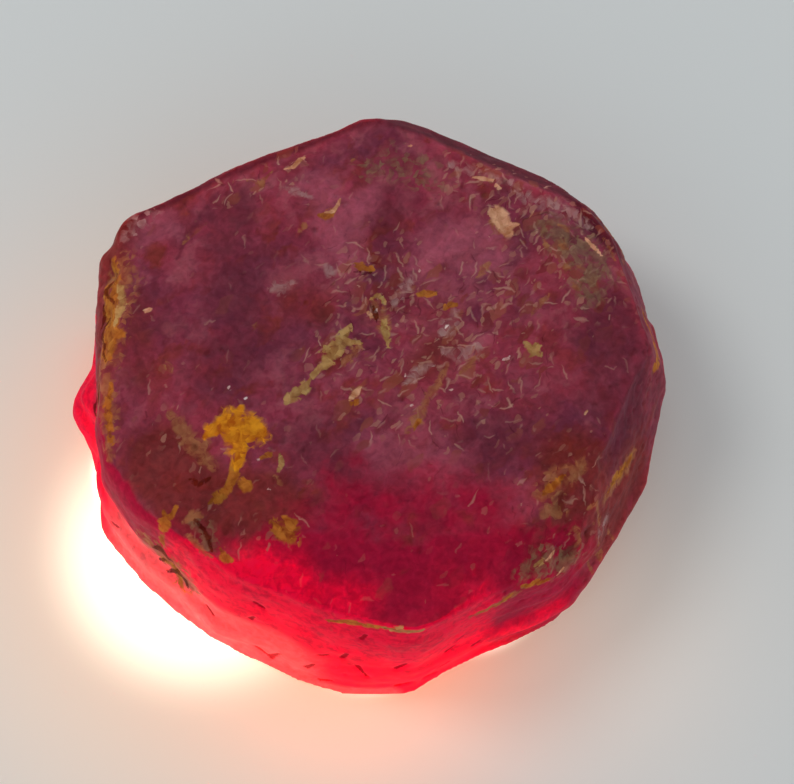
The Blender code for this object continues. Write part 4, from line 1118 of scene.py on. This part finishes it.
    def on_skin(self, tree: BVHTree, point: Point, on_side: bool) -> np.ndarray:
        """The place on the skin that a mark's point names.

        Args:
            tree: The skin's search tree, in metres.
            point: (x, y) seen from above, or (bearing, height).
            on_side: True for (bearing, height).

        Returns:
            The place, in millimetres.
        """
        if on_side:
            bearing = math.radians(point[0])
            out = Vector((math.cos(bearing), math.sin(bearing), 0.0))
            start, way = out * self.outside * MM + Vector((0, 0, point[1] * MM)), -out
        else:
            start, way = Vector((point[0] * MM, point[1] * MM, self.outside * MM)), Vector((0, 0, -1))
        hit = tree.ray_cast(start, way)[0]
        if hit is None:
            hit = tree.find_nearest(start)[0]
        return np.array(hit, float) / MM

    def note_rough(self, skin: bpy.types.Object, tree: BVHTree) -> None:
        """Store where the skin is broken and grainy.

        Args:
            skin: The skin.
            tree: Its search tree.
        """
        places = self.read(skin.data, "co") / MM
        field = np.zeros(len(places))
        for bearing, height, reach, strength in ROUGH_PLACES:
            middle = self.on_skin(tree, (bearing, height), True)
            share = np.linalg.norm(places - middle, axis=1) / reach
            field = np.maximum(field, strength * np.clip(self.fullness * (1 - share**2), 0, 1))
        self.lay(skin.data, Mark.ROUGH, field)

    def fields(self, places: np.ndarray, tree: BVHTree, traces: tuple[Trace, ...],
               on_side: bool) -> dict[Mark, np.ndarray]:
        """How strongly each mark of some traces shows at each vertex.

        Args:
            places: The vertices' places, in millimetres.
            tree: The skin's search tree.
            traces: The traces.
            on_side: True where their paths hold bearings and heights.

        Returns:
            A field from 0 to about 1 for each mark.
        """
        made: dict[Mark, np.ndarray] = {}
        for trace in traces:
            path = np.array([self.on_skin(tree, point, on_side) for point in trace.path])
            widths = trace.width * np.array([point[2] if len(point) > 2 else 1.0 for point in trace.path])
            low, high = path.min(0) - widths.max(), path.max(0) + widths.max()
            near = np.nonzero(((places > low) & (places < high)).all(1))[0]
            depth = self.fullness * (1 - reach_of_path(places[near], path, widths))
            whole = made.setdefault(trace.mark, np.zeros(len(places)))
            whole[near] = np.maximum(whole[near], np.clip(depth, 0, 1) * trace.strength)
        return made

    def sink_nicks(self, skin: bpy.types.Object, tree: BVHTree) -> None:
        """Sink the small dark slits low on the front.

        Args:
            skin: The skin.
            tree: Its search tree.
        """
        mesh = skin.data
        places = self.read(mesh, "co") / MM
        wide, thin = self.nick_taper
        slits = tuple(Trace(Mark.NICK, self.nick_width, ((*first, wide), (*last, thin)))
                      for first, last in FRONT_SLITS)
        field = self.fields(places, tree, slits, on_side=True)[Mark.NICK]
        self.place(mesh, places - self.read(mesh, "normal") * (field * self.nick_depth)[:, None])
        self.lay(mesh, Mark.NICK, field)

    def paint(self, skin: bpy.types.Object, tree: BVHTree) -> None:
        """Store where each mineral, veil, clear zone, painted glow and painted shade lies, for the finish to
        read.

        Args:
            skin: The skin.
            tree: Its search tree.
        """
        places, normals = self.read(skin.data, "co") / MM, self.read(skin.data, "normal")
        made = self.fields(places, tree, TOP_TRACES, on_side=False)
        for mark, field in self.fields(places, tree, SIDE_TRACES, on_side=True).items():
            made[mark] = np.maximum(made.get(mark, field), field)
        across, along, height = places.T
        bearing = np.degrees(np.arctan2(along, across))
        outwards = np.clip((np.hypot(across, along) - self.wall_radius) / self.wall_radius_blur, 0, 1)
        steep = np.clip((self.wall_lean - normals[:, 2]) / self.wall_lean_blur, 0, 1) * outwards
        for zone in WALL_ZONES:
            ends = np.clip(np.minimum(bearing - zone.first, zone.last - bearing) / zone.fade + 0.5, 0, 1)
            levels = np.clip(np.minimum(height - zone.low, zone.high - height) / zone.soften + 0.5, 0, 1)
            field = steep * ends * levels * zone.strength
            made[zone.mark] = np.maximum(made.get(zone.mark, 0), field)
        made[Mark.SCUFF] = np.maximum(made[Mark.SCUFF], self.scuff_everywhere) * (1 - self.wall_calm * steep)
        for mark, field in made.items():
            self.lay(skin.data, mark, field)

    def keep_in_box(self, skin: bpy.types.Object) -> None:
        """Hold every vertex inside the box of the solid.

        Args:
            skin: The skin.
        """
        low, high = (np.array(corner, float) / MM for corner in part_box(NODE))
        self.place(skin.data, np.clip(self.read(skin.data, "co") / MM, low, high))

    def build(self) -> bpy.types.Object:
        """Make the crystal, dress it and set it in the frame.

        Returns:
            The crystal.
        """
        skin = self.skin_of(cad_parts[NODE])
        self.flatten_base(skin.data)
        tree = BVHTree.FromObject(skin, bpy.context.evaluated_depsgraph_get())
        self.note_rough(skin, tree)
        self.weather(skin, self.finish.build())
        self.sink_nicks(skin, tree)
        self.paint(skin, tree)
        self.keep_in_box(skin)
        skin.data.name = self.name
        skin.data.shade_smooth()
        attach(skin, "root")
        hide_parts(NODE)
        return skin


@dataclass(frozen=True)
class Glow:
    """A round patch of light on the paper that fades outwards."""

    centre: Pair
    reach: float
    strength: float
    colour: str
    steep: float = 2.0  # how sharply it ends


@dataclass(frozen=True)
class Torch:
    """A pen torch's light from under the paper, painted into the paper as glow: the crystal covers most of
    its warm pool.
    """

    middle: Pair = (-2.0, -9.0)
    spread: float = 52.0
    glows: tuple[Glow, ...] = (
        Glow((-9.5, -7.0), 7.8, 1.5, "#fff0d4", 5.0),
        Glow((-6.0, -7.0), 5.0, 28.0, "#fff0dc", 6.0),
        Glow((0.0, -10.4), 4.4, 28.0, "#fff0dc", 6.0),
        Glow((5.6, -8.4), 4.2, 14.0, "#fff0dc", 6.0),
        Glow((-12.4, -2.6), 3.0, 16.0, "#fff0dc", 6.0),
        Glow((-9.5, -7.5), 18.0, 0.42, "#ffb238"),
        Glow((0.0, -14.5), 7.6, 0.42, "#ff7414"),
        Glow((13.0, -12.5), 9.0, 0.12, "#ffdcb8"),
    )


@dataclass(frozen=True)
class PaperFinish:
    """Matt white drawing paper, pressed from wood pulp: pale, and without any shine."""

    white: str = "#e6e6e4"
    roughness: float = 0.9
    shine: float = 0.2

    def light(self, tree: bpy.types.NodeTree, glows: tuple[Glow, ...]) -> Source:
        """The light that comes up through the paper.

        Args:
            tree: The material's tree.
            glows: The patches of light.

        Returns:
            The light at each place of the paper.
        """
        coords = add_node(tree, "ShaderNodeTexCoord").outputs["Object"]
        place = add_node(tree, VECTOR_MATH, {0: coords, 1: (1 / MM, 1 / MM, 0.0)}, operation="MULTIPLY")
        light: Source = (0.0, 0.0, 0.0)
        for glow in glows:
            apart = add_node(tree, VECTOR_MATH, {0: place, 1: (*glow.centre, 0.0)}, operation="DISTANCE")
            share = add_node(tree, MATH, {0: apart.outputs["Value"], 1: glow.reach}, operation="DIVIDE")
            power = add_node(tree, MATH, {0: share, 1: glow.steep}, operation="POWER")
            minus = add_node(tree, MATH, {0: power, 1: -1.0}, operation="MULTIPLY")
            fall = add_node(tree, MATH, {0: minus}, operation="EXPONENT")
            bright = tuple(part * glow.strength for part in linear(glow.colour)[:3])
            lit = add_node(tree, VECTOR_MATH, {0: bright, "Scale": fall}, operation="SCALE")
            light = add_node(tree, VECTOR_MATH, {0: lit, 1: light}, operation="ADD")
        return light

    def build(self, name: str, torch: Torch | None = None) -> bpy.types.Material:
        """Build the material.

        Args:
            name: Its name.
            torch: The light under the paper, where it shines through.

        Returns:
            The material.
        """
        material = bpy.data.materials.new(name)
        material.use_nodes = True
        tree = material.node_tree
        tree.nodes.clear()
        inputs = {
            "Base Color": linear(self.white), "Roughness": self.roughness, "Specular IOR Level": self.shine}
        if torch is not None:
            inputs |= {"Emission Color": self.light(tree, torch.glows), "Emission Strength": 1.0}
        paper = add_node(tree, "ShaderNodeBsdfPrincipled", inputs)
        add_node(tree, "ShaderNodeOutputMaterial", {"Surface": paper})
        return material


@dataclass
class Studio:
    """The paper, the light and the camera: none of it is part of the crystal."""

    paper_size: float = 900.0
    paper_gap: float = 0.05
    paper_rings: int = 4
    pool_rings: int = 24
    sheet_sides: int = 48
    torch: Torch = Torch()
    paper: PaperFinish = PaperFinish()
    sky: str = "#d2dade"
    overhead: str = "#6e7074"
    sky_levels: Pair = (0.62, 0.92)  # rise of a direction, from the sky's colour to the one overhead
    sky_strength: float = 1.15
    key_colour: Point = (1.0, 0.985, 0.96)
    key_power: float = 0.42  # watts
    key_size: float = 170.0
    key_place: Point = (-240.0, 70.0, 400.0)
    target: Point = (1.7, 0.2, 6.0)
    camera_elevation: float = 70.0
    camera_distance: float = 180.0
    camera_range: Pair = (0.01, 10.0)  # metres
    sensor: float = 36.0
    lens: float = 142.73

    def sheet(self, name: str, inner: float, outer: float, rings: int, material: bpy.types.Material) -> None:
        """A round sheet, or a ring of one, round the torch's middle, with its place in its mesh.

        Args:
            name: The object's name.
            inner: Radius of its hole, or 0.
            outer: Its own radius.
            rings: Number of rings of faces.
            material: Its finish.
        """
        mesh = bpy.data.meshes.new(name)
        paper = bmesh.new()
        middle = Vector((*self.torch.middle, -self.paper_gap))
        turns = [math.tau * i / self.sheet_sides for i in range(self.sheet_sides)]
        last = [] if inner else [paper.verts.new(middle * MM)] * self.sheet_sides
        for ring in range(0 if inner else 1, rings + 1):
            radius = inner + (outer - inner) * ring / rings
            around = [paper.verts.new((middle + radius * Vector((math.cos(turn), math.sin(turn), 0.0))) * MM)
                      for turn in turns]
            for i in range(self.sheet_sides if last else 0):
                j = (i + 1) % self.sheet_sides
                corners = (last[i], around[i], around[j], last[j])
                paper.faces.new(corners if last[i] is not last[j] else corners[:3])
            last = around
        paper.to_mesh(mesh)
        paper.free()
        mesh.materials.append(material)
        made = bpy.data.objects.new(name, mesh)
        bpy.context.scene.collection.objects.link(made)

    def light(self) -> None:
        """Set the key light and the sky."""
        lamp = bpy.data.lights.new("key", "AREA")
        lamp.shape, lamp.size = "DISK", self.key_size * MM
        lamp.energy, lamp.color = self.key_power, self.key_colour
        key = bpy.data.objects.new("key", lamp)
        key.location = Vector(self.key_place) * MM
        key.rotation_euler = (Vector(self.target) * MM - key.location).to_track_quat("-Z", "Y").to_euler()
        bpy.context.scene.collection.objects.link(key)
        world = bpy.data.worlds.new("studio")
        bpy.context.scene.world = world
        world.use_nodes = True
        tree = world.node_tree
        tree.nodes.clear()
        coords = add_node(tree, "ShaderNodeTexCoord").outputs["Generated"]
        up = add_node(tree, SEPARATE_XYZ, {0: coords}).outputs[2]
        share = add_node(tree, MAP_RANGE, {0: up, 1: self.sky_levels[0], 2: self.sky_levels[1]},
                         interpolation_type="SMOOTHSTEP")
        tint = add_node(tree, MIX, {0: share, 6: linear(self.sky), 7: linear(self.overhead)},
                        data_type="RGBA").outputs[2]
        glow = add_node(tree, "ShaderNodeBackground", {"Color": tint, "Strength": self.sky_strength})
        add_node(tree, "ShaderNodeOutputWorld", {"Surface": glow})

    def aim(self) -> None:
        """Set the camera, which looks steeply down from the front."""
        data = bpy.data.cameras.new("camera")
        data.sensor_width, data.lens = self.sensor, self.lens
        data.clip_start, data.clip_end = self.camera_range
        camera = bpy.data.objects.new("camera", data)
        rise = math.radians(self.camera_elevation)
        back = Vector((0.0, -math.cos(rise), math.sin(rise)))
        camera.location = (Vector(self.target) + back * self.camera_distance) * MM
        camera.rotation_euler = (-back).to_track_quat("-Z", "Y").to_euler()
        bpy.context.scene.collection.objects.link(camera)
        bpy.context.scene.camera = camera

    def build(self) -> None:
        """Build the studio."""
        plain = self.paper.build("paper_matt_white")
        lit = self.paper.build("paper_matt_white_lit_from_below", self.torch)
        self.sheet("paper", self.torch.spread, self.paper_size / 2, self.paper_rings, plain)
        self.sheet("torch_pool", 0.0, self.torch.spread, self.pool_rings, lit)
        self.light()
        self.aim()
        bpy.context.scene.view_settings.view_transform = "Standard"


def main() -> None:
    """Build the crystal and its studio, and keep the crystal inside its solid's box."""
    logging.basicConfig(level=logging.INFO, format="%(name)s: %(message)s")
    studio = Studio()
    studio.build()
    LOG.info("studio: paper, torch pool, key light and camera")
    crystal = Crystal().build()
    triangles = sum(len(face.vertices) - 2 for face in crystal.data.polygons)
    LOG.info("%s: %d vertices, %d triangles", crystal.name, len(crystal.data.vertices), triangles)


if __name__ == "__main__":
    main()
